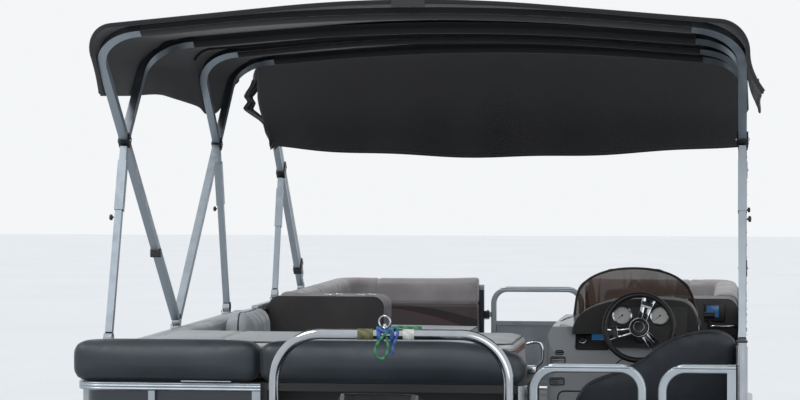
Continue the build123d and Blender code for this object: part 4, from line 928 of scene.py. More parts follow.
def rig_folded_top():
    """The second bimini's canvas, let down: a cover over its two bows, crumpled at its port end, and a curtain
    behind them that narrows by t^1.5 on its way down and gathers in folds."""
    y = np.linspace(FOLD_BACK + 4 * MM, FOLD_FRONT, 41)
    ripple = 0.012 * np.sin(np.linspace(0, 5 * np.pi, len(y)))
    grid = draped(y, DECK + 1.66 + ripple, DECK + 1.48 + ripple, 0.6 * ripple)
    port = np.arange(len(grid))[:, None] > len(grid) - FOLD_ROWS
    flap = np.array(PORT_FLAP)
    reach = np.interp(grid[..., 2] - DECK, flap[:, 0], flap[:, 1])
    crumple = 4 * MM * np.sin(60 * grid[..., 2] + 25 * (grid[..., 1] - MID))
    hung = np.clip((DECK + FLAP_TOP - grid[..., 2]) / 0.05, 0, 1)
    grid[..., 0] = np.where(port, -reach + (crumple + ripple[None]) * hung, grid[..., 0])
    cover, area = canvas_sheet("folded_cover_canvas", grid, ("folded_canvas",))
    line = over_bow(140, BOW_HALF - 6 * MM)
    x = np.linspace(-BOW_HALF + 0.02, BOW_HALF - 0.02, 160)
    high = FOLD_TOP - 6 * MM + np.interp(x, line[::-1, 0], line[::-1, 1])
    foot = DECK + CURTAIN_FOOT + CURTAIN_RISE * np.abs(x / CURTAIN_REACH) ** 1.6 + 4 * MM * np.sin(9 * x)
    t = np.linspace(0, 1, 40)[:, None]
    z = high[None] * (1 - t) + foot[None] * t
    narrow = np.where(x < 0, 0.085, 0.02) * np.clip((np.abs(x) - 0.6) / 0.6, 0, 1) ** 2
    across = x[None] - np.sign(x)[None] * narrow[None] * np.clip((t - 0.35) / 0.65, 0, 1) ** 1.5
    gather = 0.007 * t * np.sin(14 * x[None] + 1.5 * np.sin(3 * x[None])) + 0.010 * np.sin(2.5 * np.pi * t) * t
    sheet = np.stack([across, FOLD_BACK + 0.012 + gather, z], -1)
    made, area = canvas_sheet("curtain_canvas", sheet)
    hem = piece("curtain_hem", swept(sheet[-1], rounded(5 * MM, 16 * MM, 2 * MM, 3)), "black_canvas")


# Hardware


def softened(corners, rounds=3, closed=False):
    """A smooth line round its corners: each round cuts every corner at a quarter and three quarters."""
    line = np.asarray(corners, float)
    for _ in range(rounds):
        after = np.roll(line, -1, 0) if closed else line[1:]
        before = line if closed else line[:-1]
        cut = np.stack([0.75 * before + 0.25 * after, 0.25 * before + 0.75 * after], 1).reshape(-1, 3)
        line = cut if closed else np.vstack([line[:1], cut, line[-1:]])
    return line


BOLT = np.array(((1.45, 0), (1.45, 0.18), (1, 0.2), (0.94, 0.5), (0.6, 0.8), (0, 0.9)))


def bolt(centre, axis, radius):
    """A carriage bolt's low dome on its washer: the radius shrinks as the height rises."""
    return lathe(BOLT * radius, centre, axis, 14)


def boxes_of(node):
    """The lowest and highest corner of each solid in a CAD node."""
    corners = [corners_of(mesh) for mesh in island_meshes(node)]
    return [(points.min(0), points.max(0)) for points in corners]


# columns: foot along the boat and above the deck, crown along the boat and above it
BOW_TUBES = ((-1.320, 0.700, -2.930, 1.995), (-2.300, 1.490, -1.750, 1.995), (-0.412, 1.490, -0.950, 1.995),
             (-1.320, 0.700, 0.170, 1.995))


def sew_pockets():
    """The canvas pockets that hold the open top to its bows: sleeves from shoulder to shoulder. In a bow's own
    leaning plane the tube falls by slope x |x|, and by the ridge's round near the middle."""
    x = np.linspace(-1.05, 1.05, 61)
    pockets = []
    for foot_y, foot_z, crown_y, crown_z in BOW_TUBES:
        lean = (crown_y - foot_y) / (crown_z - foot_z)
        climb = 1 / np.hypot(lean, 1)
        angle = np.arctan(CROWN_DROP / climb / 1.24)
        ridge = CROWN_ROUND * (1 / np.cos(angle) - 1)
        near = np.abs(x) < CROWN_ROUND * np.sin(angle)
        fall = climb * np.where(near, ridge + x**2 / (2 * CROWN_ROUND), np.tan(angle) * np.abs(x))
        path = np.stack([x, MID + crown_y - lean * fall, DECK + crown_z - fall], 1)
        up = np.array((0, lean, 1.0)) * climb
        pockets.append(swept(path - up * 1.5 * MM, rounded(41 * MM, 37 * MM, 9 * MM), up=up))
    return piece("bimini_pockets", pockets, "black_canvas")


HELM = spot(0.769, -0.620, 0.645)
HELM_TILT = np.radians(20)
HELM_FACE = np.array((0, -np.cos(HELM_TILT), np.sin(HELM_TILT)))
HELM_UP = np.array((0, np.sin(HELM_TILT), np.cos(HELM_TILT)))
WHEEL_RADIUS, GRIP, FINGERS = 0.1565, 13.3 * MM, 36
SPOKES = np.radians((18, 138, 258))
# columns: how far a spoke's arm lies behind the rim's plane, from the hub's middle, and from the spoke's middle
SPOKE_ARM = ((0.010, 0.028, 0.011), (0.012, 0.075, 0.014), (0.004, 0.120, 0.019), (0.0, 0.151, 0.026))
# columns: radius and height of the hub's outline
HUB = ((0, -0.024), (0.026, -0.024), (0.040, -0.014), (0.043, 0.0), (0.038, 0.008), (0.020, 0.013), (0, 0.014))
SHAFT = ((0.016, -0.024), (0.016, -0.034))


def build_wheel():
    """The steering wheel: a rim with finger grips, three polished cut-out spokes and a hub in a chrome ring."""
    a = turns(144)
    path = HELM + WHEEL_RADIUS * (np.cos(a)[:, None] * ACROSS + np.sin(a)[:, None] * HELM_UP)
    rim = swept(path, circle(GRIP, 14), closed=True, up=HELM_FACE)
    swell = 1 + 0.05 * np.cos(FINGERS * a) * (np.abs(np.sin(a)) < 0.8)
    piece("wheel_grip", swollen(rim, swell), "wheel_rim", body="steering_wheel", stands_for=("steering_wheel",))
    spokes = []
    for turn in SPOKES:
        out = np.sin(turn) * ACROSS + np.cos(turn) * HELM_UP
        aside = np.cross(HELM_FACE, out)
        for side in SIDES:
            arm = [HELM - HELM_FACE * back + out * far + aside * side * apart for back, far, apart in SPOKE_ARM]
            spokes.append(swept(bowed(arm, 14), rounded(19 * MM, 5 * MM, 2 * MM), up=HELM_FACE))
        bridge = HELM - HELM_FACE * 0.003 + out * 0.122
        spokes.append(swept([bridge - aside * 0.026, bridge + aside * 0.026], rounded(44 * MM, 5 * MM, 2 * MM),
                            up=HELM_FACE))
    piece("wheel_spokes", spokes, "polished_tube", body="steering_wheel")
    hub = [lathe(HUB, HELM, HELM_FACE, 40), lathe(SHAFT, HELM, HELM_FACE, 24)]
    piece("wheel_hub", hub, "dash_black", "steering_wheel")
    rings = [hoop(HELM + HELM_FACE * rise, HELM_FACE, radius, thick * MM)
             for rise, radius, thick in ((0.002, 0.0435, 3), (0.0125, 0.024, 1.5))]
    piece("wheel_ring", rings, "polished_tube", body="steering_wheel")


def on_plane(origin, normal, up):
    """A function that puts parts drawn with x to the right, y up and z outward onto a sloping plane."""
    axes = np.array((np.cross(up, normal), up, normal))
    return lambda part, x=0.0, y=0.0, z=0.0: turned(part, origin + (x, y, z) @ axes, axes)


def frame_round(low, high, radius, section):
    """A bead round a flat rectangle with round corners, drawn with its face up."""
    low, high = np.asarray(low, float), np.asarray(high, float)
    line = rounded(*(high - low), radius, 6) + (low + high) / 2
    return swept(np.hstack([line, np.zeros((len(line), 1))]), section, True, UP)


def flat_ring(radius, thick):
    """A ring that lies in its own plane."""
    return hoop(ORIGIN, UP, radius, thick, 40, 8)


DIAL_PLACES, DIAL_HEIGHT, DIAL_FACE = (0.685, 0.860), 0.046, 6 * MM


def build_dials():
    """Two dials: chrome bezels, pale faces, needles, and ticks ten degrees apart, each third one longer."""
    dials = on_plane(spot(0, -0.451, 0.6435), (0, -0.991, 0.131), (0, 0.131, 0.991))
    disc = lathe([(0.042, 0), (0.042, DIAL_FACE), (0, DIAL_FACE)], ORIGIN, UP, 40)
    needle = swept([(0, 0, 0), (-0.020, -0.017, 0)], rounded(2.2 * MM, 1 * MM, 0.4 * MM, 2))
    pin = lathe([(5 * MM, 0), (4 * MM, 3 * MM), (0, 3 * MM)], ORIGIN, UP, 16)
    bezels, faces, marks = [], [], []
    for x in DIAL_PLACES:
        bezels += [dials(flat_ring(radius, thick * MM), x, DIAL_HEIGHT, DIAL_FACE)
                   for radius, thick in ((0.0435, 3.2), (0.0385, 1.2))]
        faces.append(dials(disc, x, DIAL_HEIGHT))
        for k, turn in enumerate(np.radians(np.linspace(-130, 130, 27))):
            out, half = (0.0345, 1.75 * MM) if k % 3 else (0.033, 3.25 * MM)
            tick = block((-0.5 * MM, -half, 0), (0.5 * MM, half, 0.5 * MM), 0.1 * MM, 2)
            sin, cos = np.sin(turn), np.cos(turn)
            spun = turned(tick, ORIGIN, ((cos, -sin, 0), (sin, cos, 0), UP))
            marks.append(dials(spun, x + out * sin, DIAL_HEIGHT + out * cos, DIAL_FACE))
        marks += [dials(needle, x, DIAL_HEIGHT, DIAL_FACE + 2 * MM), dials(pin, x, DIAL_HEIGHT, DIAL_FACE)]
    piece("dial_bezels", bezels, "polished_tube")
    piece("dial_faces", faces, "gauge", stands_for=("instruments",))
    piece("dial_marks", marks, "dash_black")


def build_radio():
    """The radio: a black face in a frame, five keys, a knob in a chrome ring, and a lit screen."""
    radio = on_plane(spot(0.545, -0.415, 0.566), (0, -0.8835, 0.4685), (0, 0.4685, 0.8835))
    face = 6 * MM
    bead = frame_round((-0.077, -0.044), (0.077, 0.044), 9 * MM, rounded(5 * MM, 8 * MM, 1.5 * MM))
    key = block((-6 * MM, -4 * MM, 0), (6 * MM, 4 * MM, 3 * MM), 1.2 * MM, 3)
    knob = lathe([(15 * MM, 0), (13 * MM, 13 * MM), (11 * MM, 14.5 * MM), (0, 14.5 * MM)], ORIGIN, UP, 28)
    knob_place = (-0.047, 0.004)
    controls = [radio(block((-0.075, -0.042, -0.004), (0.075, 0.042, 0.0075), 3 * MM)), radio(bead, z=face)]
    controls += [radio(key, -0.005 + 0.016 * k, -0.026, face) for k in range(5)]
    piece("radio_controls", [*controls, radio(knob, *knob_place, face)], "dash_black")
    glass = block((-0.034, -0.015, 0), (0.034, 0.015, 2 * MM), 1.5 * MM, 3)
    piece("radio_screen", radio(glass, 0.030, 0.018, face), "lit_screen")
    piece("radio_ring", radio(flat_ring(0.0165, 1.6 * MM), *knob_place, face + 2 * MM), "polished_tube")


# columns: lower left and upper right corner of a vent in the console's face
VENTS = (((0.353, 0.457), (0.419, 0.494)), ((0.348, 0.364), (0.414, 0.396)), ((0.376, 0.506), (0.410, 0.524)))
SLAT_UP = np.array((0, 0.5, 0.87))
SHELF = ((0.350, 0.425, 0), (0.560, 0.425, 0), (0.625, 0.440, 0), (0.700, 0.500, 0))


def build_vents():
    """The console's vents with three slats each, its door with a latch, and the edge of its shelf."""
    aft = on_plane(spot(0, -0.450, 0), -ALONG, UP)
    parts = []
    for low, high in VENTS:
        parts.append(aft(frame_round(low, high, 6 * MM, rounded(5 * MM, 6 * MM, 1.5 * MM)), z=2 * MM))
        for y in np.linspace(low[1] + 8 * MM, high[1] - 8 * MM, 3):
            ends = [(low[0] + 4 * MM, y, 0), (high[0] - 4 * MM, y, 0)]
            slat = swept(ends, rounded(2 * MM, 6 * MM, 0.8 * MM, 2), up=SLAT_UP)
            parts.append(aft(slat, z=1 * MM))
    door = frame_round((0.385, 0.075), (0.690, 0.335), 30 * MM, rounded(6 * MM, 4 * MM, 1.5 * MM))
    parts += [aft(door, z=1 * MM), aft(block((0.655, 0.19, 0), (0.675, 0.225, 0.012), 4 * MM)),
              aft(swept(softened(SHELF), rounded(5 * MM, 5 * MM, 1.5 * MM)), z=1 * MM)]
    piece("console_vents", parts, "dash_black")


# columns: place to starboard and height above the deck, round the dash's hood
HOOD = ((0.452, 0.600), (0.452, 0.640), (0.482, 0.694), (0.545, 0.730), (0.640, 0.759), (0.735, 0.768),
        (0.880, 0.768), (0.985, 0.757), (1.025, 0.706), (1.036, 0.650), (1.036, 0.600))
# columns: place along the boat and size of the hood's outline there
HOOD_RINGS = ((-0.438, 0.985), (-0.432, 1.0), (-0.20, 1.0), (-0.185, 0.97))
# columns: place to starboard and height of the windscreen's edge, whose foot is an arc round SCREEN_MIDDLE
SCREEN_EDGE = ((0.4388, 0.665), (0.456, 0.818), (0.605, 0.889), (0.840, 0.886), (0.983, 0.818), (1.030, 0.667))
SCREEN_MIDDLE, SCREEN_RADIUS = (0.735, -0.19), 0.3107


def build_screen():
    """The black hood over the dash, and the bead round the windscreen's edge: y = middle + sqrt(r^2 - x^2)."""
    outline = softened(np.insert(HOOD, 1, 0, axis=1))
    middle = outline.mean(0)
    rings = np.stack([middle + (outline - middle) * size + y * ALONG for y, size in HOOD_RINGS])
    piece("dash_hood", skinned(rings + (0, MID, DECK)), "dash_black")
    edge = softened(np.insert(SCREEN_EDGE, 1, 0, axis=1), 4)
    reach = SCREEN_RADIUS**2 - (edge[:, 0] - SCREEN_MIDDLE[0]) ** 2
    edge[:, 1] = SCREEN_MIDDLE[1] + np.sqrt(np.maximum(reach, 0))
    piece("screen_edging", swept(edge + (0, MID, DECK), rounded(11 * MM, 11 * MM, 4 * MM)), "dash_black")


# places of a lounge pod's cups from the boat's middle, and along the boat
POD_CUPS, POD_Y = (0.720, 0.895), 0.97
# the console's shoulder: its arc's centre, and the direction from there to the cup, on a radius of 135 mm
SHOULDER = (0.465, -0.30, 0.537)
SHOULDER_TIP = np.array((-0.0495, 0, 0.1256)) / 0.135


def fit_cups():
    """Chrome rings on the five cup holes, and liners in the four of the pods."""
    places = [(side * x, POD_Y) for side in SIDES for x in POD_CUPS]
    rings = [hoop(spot(*SHOULDER) + 0.137 * SHOULDER_TIP, SHOULDER_TIP, 0.030, 3 * MM)]
    rings += [hoop(spot(*place, 0.7085), UP, 0.0465, 3 * MM) for place in places]
    piece("cup_rings", rings, "polished_tube")
    liner = [(0.0455, 0.001), (0.0435, 0.001), (0.0425, -0.064), (0.0, -0.064)]
    liners = [lathe(liner, spot(*place, 0.706), UP) for place in places]
    piece("cup_liners", liners, "dash_black")


def build_stereo():
    """The pod's stereo with its lit screen, and the chrome pull of the locker under it."""
    pod = on_plane(spot(0, 0.820, 0), -ALONG, UP)
    case = block((1.045, 0.588, -0.002), (1.150, 0.682, 0.014), 6 * MM)
    piece("stereo_case", pod(case), "dash_black")
    glass = block((1.056, 0.612, 0.013), (1.118, 0.672, 0.0155), 1 * MM)
    piece("stereo_screen", pod(glass), "lit_screen")
    pull = [(1.078, 0.567, 0), (1.082, 0.567, 0.024), (1.196, 0.567, 0.024), (1.200, 0.567, 0)]
    piece("locker_pull", pod(swept(softened(pull), circle(7 * MM, 10), up=ALONG)), "polished_tube")


RIVET = 4 * MM
# columns: lowest and highest corner, and round, of the corner post's cap and of the three gates' latches
LATCHES = (((1.219, -3.081, 0.742), (1.261, -3.039, 0.750), 4 * MM),
           ((-0.312, 3.040, 0.470), (-0.272, 3.082, 0.512), 5 * MM),
           ((0.422, -3.082, 0.470), (0.4565, -3.038, 0.512), 5 * MM),
           ((-1.262, -1.752, 0.996), (-1.220, -1.706, 1.034), 5 * MM))
# columns: the two ends of a latch's pin
PINS = (((-0.330, 3.060, 0.492), (-0.240, 3.060, 0.492)), ((0.412, -3.060, 0.492), (0.460, -3.060, 0.492)))
HANDLE = ((0.440, -2.46, 0.60), (0.466, -2.46, 0.62), (0.466, -2.46, 0.690), (0.440, -2.46, 0.700),
          (0.405, -2.46, 0.690))
# columns: radius and height of a knob's outline
KNOB = ((0.004, 0), (0.005, 0.004), (0.012, 0.006), (0.012, 0.013), (0.009, 0.016), (0, 0.017))


def fit_bolts():
    """Bolts through the biminis' feet and collars, and in the tow bar's four-bolt feet."""
    bolts = []
    for node in ("top_feet", "top_collars"):
        for low, high in boxes_of(node):
            side = np.sign(low[0])
            inner, outer = sorted((side * low[0], side * high[0]))
            y, z = (low[1:] + high[1:]) / 2
            if node == "top_feet":
                bolts += [bolt((side * outer, at, low[2] + 0.012), (side, 0, 0), 5 * MM)
                          for at in (low[1] + 0.020, high[1] - 0.020)]
            else:
                bolts += [bolt((side * outer, y, z), (side, 0, 0), 7 * MM),
                          bolt((side * inner, y, z), (-side, 0, 0), 6 * MM)]
    low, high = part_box("tow_bar")
    for side in SIDES:
        centre = np.array((side * (high[0] - 0.045), (low[1] + high[1]) / 2, DECK + 8 * MM))
        for turn in np.radians((45, 135, 225, 315)):
            bolts.append(bolt(centre + 0.034 * np.array((np.cos(turn), np.sin(turn), 0)), UP, 4 * MM))
    piece("rail_bolts", bolts, "polished_tube")


def fit_rivets():
    """Rivets all round the deck's edge trim, and down the sloping edge of the stern corner's panel."""
    low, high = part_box("deck_trim")
    sunk, z = 0.3 * MM, DECK - 0.045
    rivets = [bolt((side * (high.x - sunk), y, z), (side, 0, 0), RIVET)
              for y in np.linspace(low.y + 0.12, high.y - 0.12, 24) for side in SIDES]
    for x in np.linspace(low.x + 0.12, high.x - 0.12, 9):
        rivets += [bolt((x, low.y + sunk, z), -ALONG, RIVET), bolt((x, high.y - sunk, z), ALONG, RIVET)]
    rivets += [bolt(spot(1.2565, -2.335 - 0.235 * (1.42 - z) / 0.68, z), ACROSS, 3 * MM)
               for z in np.linspace(0.74, 1.42, 15)]
    piece("trim_rivets", rivets, "polished_tube")


def fit_latches():
    """The gates' latches, pins and handle, the post's cap, the struts' knobs, and a strip by the bolsters."""
    black = [block(spot(*low), spot(*high), radius) for low, high, radius in LATCHES]
    black += [lathe(KNOB, spot(side * 1.258, y, 1.180), side * ACROSS, 18)
              for y in (-2.42, -0.33) for side in SIDES]
    piece("rail_fittings", black, "black_plastic")
    chrome = [rod(spot(*first), spot(*last), 5 * MM) for first, last in PINS]
    chrome += [swept(softened([spot(*place) for place in HANDLE]), circle(6 * MM, 10), up=ALONG),
               block(spot(0.404, -2.49, 0.575), spot(0.444, -2.43, 0.604), 4 * MM)]
    piece("latch_pins", chrome, "polished_tube")
    strip = block(spot(-0.842, -3.0830, 0.579), spot(-0.650, -3.0780, 0.583), 2 * MM)
    piece("bolster_strip", strip, "trim_aluminium")


CLEAT_X, CLEAT_Y = 1.12, 3.30
# columns: place along the horns and height above the deck
CLEAT_HORNS = ((-0.085, 0.050), (-0.04, 0.044), (0.04, 0.044), (0.085, 0.050))


def fit_cleats():
    """Four deck cleats: a foot, two legs, and two horns that curl up and thin by |t|^1.5 to their tips."""
    cleats = []
    for x in (-CLEAT_X, CLEAT_X):
        for y in (-CLEAT_Y, CLEAT_Y):
            cleats.append(block(spot(x - 0.018, y - 0.04, 0.0), spot(x + 0.018, y + 0.04, 0.010), 4 * MM))
            cleats += [rod(spot(x, y + leg * 0.022, 0.008), spot(x, y + leg * 0.018, 0.040), 8 * MM)
                       for leg in SIDES]
            line = bowed([spot(x, y + far, z) for far, z in CLEAT_HORNS], 18)
            thick = (10.5 - 5.0 * np.abs(np.linspace(-1, 1, 18)) ** 1.5) * MM
            cleats.append(swollen(swept(line, circle(1.0, 12), up=ACROSS), thick))
    piece("deck_cleats", cleats, "polished_tube")


HULL_X, HULL_Z, HULL_RADIUS = 0.940, -0.5205, 0.3180
JOINTS = (-3.05, -1.75, -0.45, 0.85, 2.15)
# columns: radius and height of the drain plug's outline
PLUG = ((0.022, 0), (0.022, 8 * MM), (0.012, 10 * MM), (0.012, 16 * MM), (0, 16 * MM))


def weld_hulls():
    """Weld beads round both pontoons where their lengths are joined, with a rippled back: the bead's size
    swells and shrinks by 12 %, 90 times a turn. Each pontoon has a drain plug aft."""
    swell = 1 + 0.12 * np.cos(90 * turns(180) + 0.3)
    beads = []
    for x in (-HULL_X, HULL_X):
        beads += [swollen(hoop(spot(x, y, HULL_Z), ALONG, HULL_RADIUS, 3.4 * MM, 180, 8), swell)
                  for y in JOINTS]
        beads.append(lathe(PLUG, spot(x, -3.490, -0.760), -ALONG, 6))
    piece("hull_welds", beads, "hull_aluminium")


TILT = np.radians(60)
# columns: piece, its height as a share of the cowl, how far it stands out and how tall it is in mm, finish
COWL_BANDS = (("cowl_gasket", 0.05, 9, 14, "black_plastic"), ("cowl_band", 0.30, 4, 12, "trim_aluminium"),
              ("cowl_lip", 0.62, 5, 7, "black_plastic"))


def dress_motor():
    """The outboard's cowl: a gasket at its foot, a pale band and a latch lip, each cut along its skin."""
    shell = island_meshes("motor_cowl")[0]
    up = np.array((0, np.sin(TILT), np.cos(TILT)))
    heights = corners_of(shell) @ up
    low, high = heights.min(), heights.max()
    for name, share, out, tall, look_name in COWL_BANDS:
        loops = [swept(evened(loop, 0.012), rounded(out * MM, tall * MM, 1.8 * MM), True, up)
                 for loop in cut_loops(shell, up * (low + share * (high - low)), up, 5)]
        piece(name, loops, look_name, body="motor")


# columns: place to starboard, rise above the tow bar's middle line, and how far aft of it
GREEN_LINE = ((0.112, 0.0245, 0), (0.088, 0.0265, 0), (0.060, 0.0245, 0), (0.028, 0.028, 0.006),
              (0.002, 0.020, 0.024), (-0.030, -0.012, 0.030), (-0.052, -0.045, 0.029),
              (-0.050, -0.078, 0.029), (-0.026, -0.090, 0.030), (-0.006, -0.066, 0.031),
              (-0.004, -0.034, 0.030), (-0.010, -0.008, 0.029))
BLUE_STRAND = ((0.018, 0.024, 0.006), (0.030, 0.016, 0.021), (0.024, -0.012, 0.0265), (0.012, -0.040, 0.027),
               (0.010, -0.062, 0.027))
BLUE_BEND = ((-0.040, 0.022, 0.018), (-0.02, 0.012, 0.028), (0.004, 0.020, 0.022))
# columns: place to starboard of a turn of the knot, and its lean
BLUE_TURNS = ((-0.044, 0.08), (-0.033, -0.1), (0.001, 0.15), (0.012, -0.05))
# columns: piece, its two ends to starboard, finish
WRAPS = (("olive_wrap", -0.117, -0.060, "olive_tape"), ("white_wrap", 0.046, 0.086, "white_tape"))
BAR_RADIUS = 18.5 * MM
RING_X = -0.021
# columns: radius and height of the ring's stalk, and of the blue strand's knot in mm
STALK = ((0.011, 0.0), (0.011, 0.006), (0.007, 0.010), (0.006, 0.020), (0, 0.021))
KNOT = ((0, -8), (7, -6), (9, 0), (7, 6), (0, 8))


def on_bar(x, rise=0.0, out=0.0):
    """A point given from the tow bar's middle line."""
    low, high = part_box("tow_bar")
    return np.array((x, (low[1] + high[1]) / 2 - out, high[2] - 0.019 + rise))


def lay_cord(name, places, radius, look_name, end, others):
    """A cord along a smooth curve through the corners given, and its knot where it ends in one."""
    route = [on_bar(*place) for place in places]
    curve = bpy.data.curves.new(name, "CURVE")
    curve.dimensions = "3D"
    curve.bevel_depth = radius
    curve.bevel_resolution = 3
    curve.resolution_u = 12
    curve.use_fill_caps = True
    spline = curve.splines.new("NURBS")
    spline.points.add(len(route) - 1)
    spline.points.foreach_set("co", np.hstack([route, np.ones((len(route), 1))]).ravel())
    spline.order_u = 3
    spline.use_endpoint_u = True
    made = put_in(name, curve)
    made.data.materials.append(FINISH[look_name])
    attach(made, "boat")
    if end == "knot":
        ball = lathe(np.array(KNOT) * MM, route[-1], UP, 16)
        others = [piece(f"{name}_knot", ball, look_name)]


def tie_ropes():
    """The tow bar's wraps, its ring, the blue knot and the green line looped through it."""
    for name, first, last, look_name in WRAPS:
        skin = BAR_RADIUS + 1.7 * MM + 0.7 * MM * np.sin(np.linspace(0, 14 * np.pi, 40))
        along = np.linspace(0, last - first, 40)
        outline = np.vstack([[(BAR_RADIUS, 0)], np.stack([skin, along], 1), [(BAR_RADIUS, last - first)]])
        piece(name, lathe(outline, on_bar(first), ACROSS, 28), look_name)
    ring = [hoop(on_bar(RING_X, 0.044), (0.25, 1.0, 0), 0.0215, 3.6 * MM, 40, 10),
            lathe(STALK, on_bar(RING_X, 0.0165), UP, 16)]
    piece("tow_ring", ring, "polished_tube")
    wraps = [hoop(on_bar(x), (1.0, lean, 0.1), 0.0245, 5 * MM, 36, 8) for x, lean in BLUE_TURNS]
    wraps.append(swept(bowed([on_bar(*place) for place in BLUE_BEND], 16), circle(5.5 * MM, 8)))
    knot = piece("blue_knot", wraps, "blue_rope")
    lay_cord("green_line", GREEN_LINE, 5.2 * MM, "green_rope", "object", [knot])
    lay_cord("blue_strand", BLUE_STRAND, 5.0 * MM, "blue_rope", "knot", [])


# Stage


def set_stage(settings):
    """A pale floor at the waterline, a white background, plain soft light and the photograph's camera."""
    mesh = bpy.data.meshes.new("floor")
    corners = [(x * FLOOR_REACH, y * FLOOR_REACH, WATERLINE) for x, y in ((-1, -1), (1, -1), (1, 1), (-1, 1))]
    mesh.from_pydata(corners, [], [(0, 1, 2, 3)])
    mesh.materials.append(clouded("pale_floor", ("#e4e6e8", "#eceef0"), 2.0, Roughness=0.8))
    ground = put_in("floor", mesh)
    world = bpy.data.worlds.new("studio")
    bpy.context.scene.world = world
    world.use_nodes = True
    tree = world.node_tree
    tree.nodes.clear()
    path = add(tree, "ShaderNodeLightPath")
    seen = 0.0
    for ray in ("Is Camera Ray", "Is Glossy Ray", "Is Transmission Ray"):
        seen = worked(tree, "MAXIMUM", path.outputs[ray], seen)
    shown = add(tree, "ShaderNodeBackground", {"Color": linear("#f4f6f8"), "Strength": 1.0}).outputs[0]
    light = add(tree, "ShaderNodeBackground", {"Color": linear("#e8edf2"), "Strength": settings.sky}).outputs[0]
    both = add(tree, "ShaderNodeMixShader", {0: seen, 1: light, 2: shown})
    out = add(tree, "ShaderNodeOutputWorld")
    tree.links.new(both.outputs[0], out.inputs["Surface"])
    # columns: name, direction and tip of the lamp, its strength, its softness
    lamps = (("key", -50.0, 34.0, settings.key, 0.35), ("fill", 22.0, 76.0, 0.75, 0.8))
    for name, turn, tip, strength, soft in lamps:
        lamp = bpy.data.lights.new(name, "SUN")
        lamp.energy = strength
        lamp.angle = soft
        put_in(name, lamp).rotation_euler = (np.radians(tip), 0, np.radians(turn))
    eye = bpy.data.cameras.new("camera")
    eye.lens = settings.lens
    eye.sensor_width = 36.0
    eye.clip_end = 400.0
    camera = put_in("camera", eye)
    camera.location = settings.eye
    camera.rotation_euler = (np.radians(90 + settings.pitch), 0, np.radians(settings.yaw))
    bpy.context.scene.camera = camera
    bpy.context.scene.view_settings.view_transform = "Standard"


class StageSettings(bpy.types.PropertyGroup):
    """The camera and the light."""

    lens: bpy.props.FloatProperty(name="Lens", description="Focal length on a 36 mm sensor", default=119.07)
    eye: bpy.props.FloatVectorProperty(name="Eye", description="Where the camera stands", subtype="TRANSLATION",
                                       unit="LENGTH", default=(1.25, -12.098, 2.24))
    yaw: bpy.props.FloatProperty(name="Yaw", description="Turn to port, in degrees", default=7.43)
    pitch: bpy.props.FloatProperty(name="Pitch", description="Tip above level, in degrees", default=-0.76)
    sky: bpy.props.FloatProperty(name="Sky", description="Strength of the even light", default=0.62)
    key: bpy.props.FloatProperty(name="Key", description="Strength of the main lamp", default=1.5)


class BOAT_OT_stage(bpy.types.Operator):
    """Floor, light and camera"""

    bl_idname = "boat.stage"
    bl_label = "Stage"

    def execute(self, context):
        set_stage(context.scene.boat_stage)
        return {"FINISHED"}


class BOAT_OT_finishes(bpy.types.Operator):
    """Finishes of the rigid frame"""

    bl_idname = "boat.finishes"
    bl_label = "Finishes"

    def execute(self, context):
        FINISH.update(all_finishes())
        paint_frame()
        return {"FINISHED"}


class Builds:
    """Runs an operator's builders in order."""

    builders = ()

    def execute(self, context):
        for build in self.builders:
            build()
        return {"FINISHED"}


class BOAT_OT_cushions(Builds, bpy.types.Operator):
    """Stuffed and sewn cushions"""

    bl_idname = "boat.cushions"
    bl_label = "Cushions"
    builders = (sew_cushions,)


class BOAT_OT_open_top(Builds, bpy.types.Operator):
    """Canvas of the open bimini"""

    bl_idname = "boat.open_top"
    bl_label = "Open top"
    builders = (rig_open_top,)


class BOAT_OT_folded_top(Builds, bpy.types.Operator):
    """Canvas of the folded bimini"""

    bl_idname = "boat.folded_top"
    bl_label = "Folded top"
    builders = (rig_folded_top,)


class BOAT_OT_wheel(Builds, bpy.types.Operator):
    """Steering wheel"""

    bl_idname = "boat.wheel"
    bl_label = "Steering wheel"
    builders = (build_wheel,)


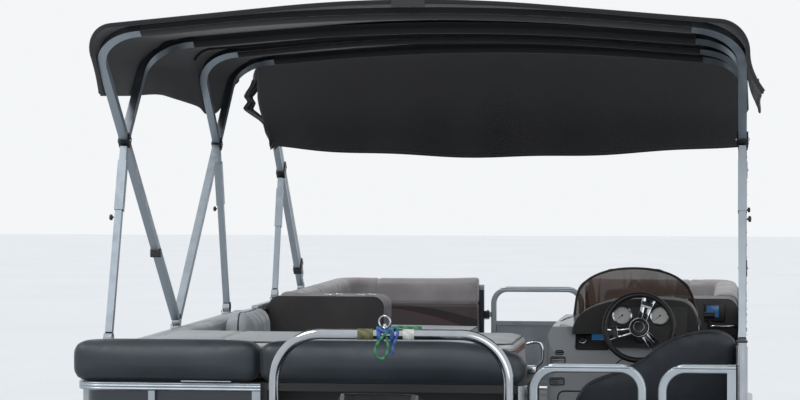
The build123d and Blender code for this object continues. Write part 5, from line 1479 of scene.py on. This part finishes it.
class BOAT_OT_helm(Builds, bpy.types.Operator):
    """Dials, radio, vents, cup rings and stereo"""

    bl_idname = "boat.helm"
    bl_label = "Helm"
    builders = (build_dials, build_radio, build_vents, build_screen, fit_cups, build_stereo)


class BOAT_OT_rails(Builds, bpy.types.Operator):
    """Bolts, latches, rivets and cleats"""

    bl_idname = "boat.rails"
    bl_label = "Rail and deck hardware"
    builders = (fit_bolts, fit_rivets, fit_latches, fit_cleats)


class BOAT_OT_hulls(Builds, bpy.types.Operator):
    """Welds of the hulls and trim of the outboard"""

    bl_idname = "boat.hulls"
    bl_label = "Hulls and outboard"
    builders = (weld_hulls, dress_motor)


class BOAT_OT_ropes(Builds, bpy.types.Operator):
    """Wraps, ring and ropes on the tow bar"""

    bl_idname = "boat.ropes"
    bl_label = "Tow bar ropes"
    builders = (tie_ropes,)


OPERATORS = (BOAT_OT_stage, BOAT_OT_finishes, BOAT_OT_cushions, BOAT_OT_open_top, BOAT_OT_folded_top,
             BOAT_OT_wheel, BOAT_OT_helm, BOAT_OT_rails, BOAT_OT_hulls, BOAT_OT_ropes)


class BOAT_PT_panel(bpy.types.Panel):
    """Lists the boat's pieces"""

    bl_idname = "BOAT_PT_panel"
    bl_label = "Boat"
    bl_space_type = "VIEW_3D"
    bl_region_type = "UI"
    bl_category = "Boat"

    def draw(self, context):
        for operator in OPERATORS:
            self.layout.operator(operator.bl_idname)


CLASSES = (StageSettings, *OPERATORS, BOAT_PT_panel)


def register():
    """Registers the classes and hangs the settings on the scene."""
    for kind in CLASSES:
        bpy.utils.register_class(kind)
    bpy.types.Scene.boat_stage = bpy.props.PointerProperty(type=StageSettings)


def unregister():
    """Takes the settings and the classes away."""
    del bpy.types.Scene.boat_stage
    for kind in reversed(CLASSES):
        bpy.utils.unregister_class(kind)


def main():
    """Registers the add-on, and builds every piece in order."""
    register()
    bpy.ops.boat.stage()
    bpy.ops.boat.finishes()
    bpy.ops.boat.cushions()
    bpy.ops.boat.open_top()
    bpy.ops.boat.folded_top()
    bpy.ops.boat.wheel()
    bpy.ops.boat.helm()
    bpy.ops.boat.rails()
    bpy.ops.boat.hulls()
    bpy.ops.boat.ropes()


if __name__ == "__main__":
    main()
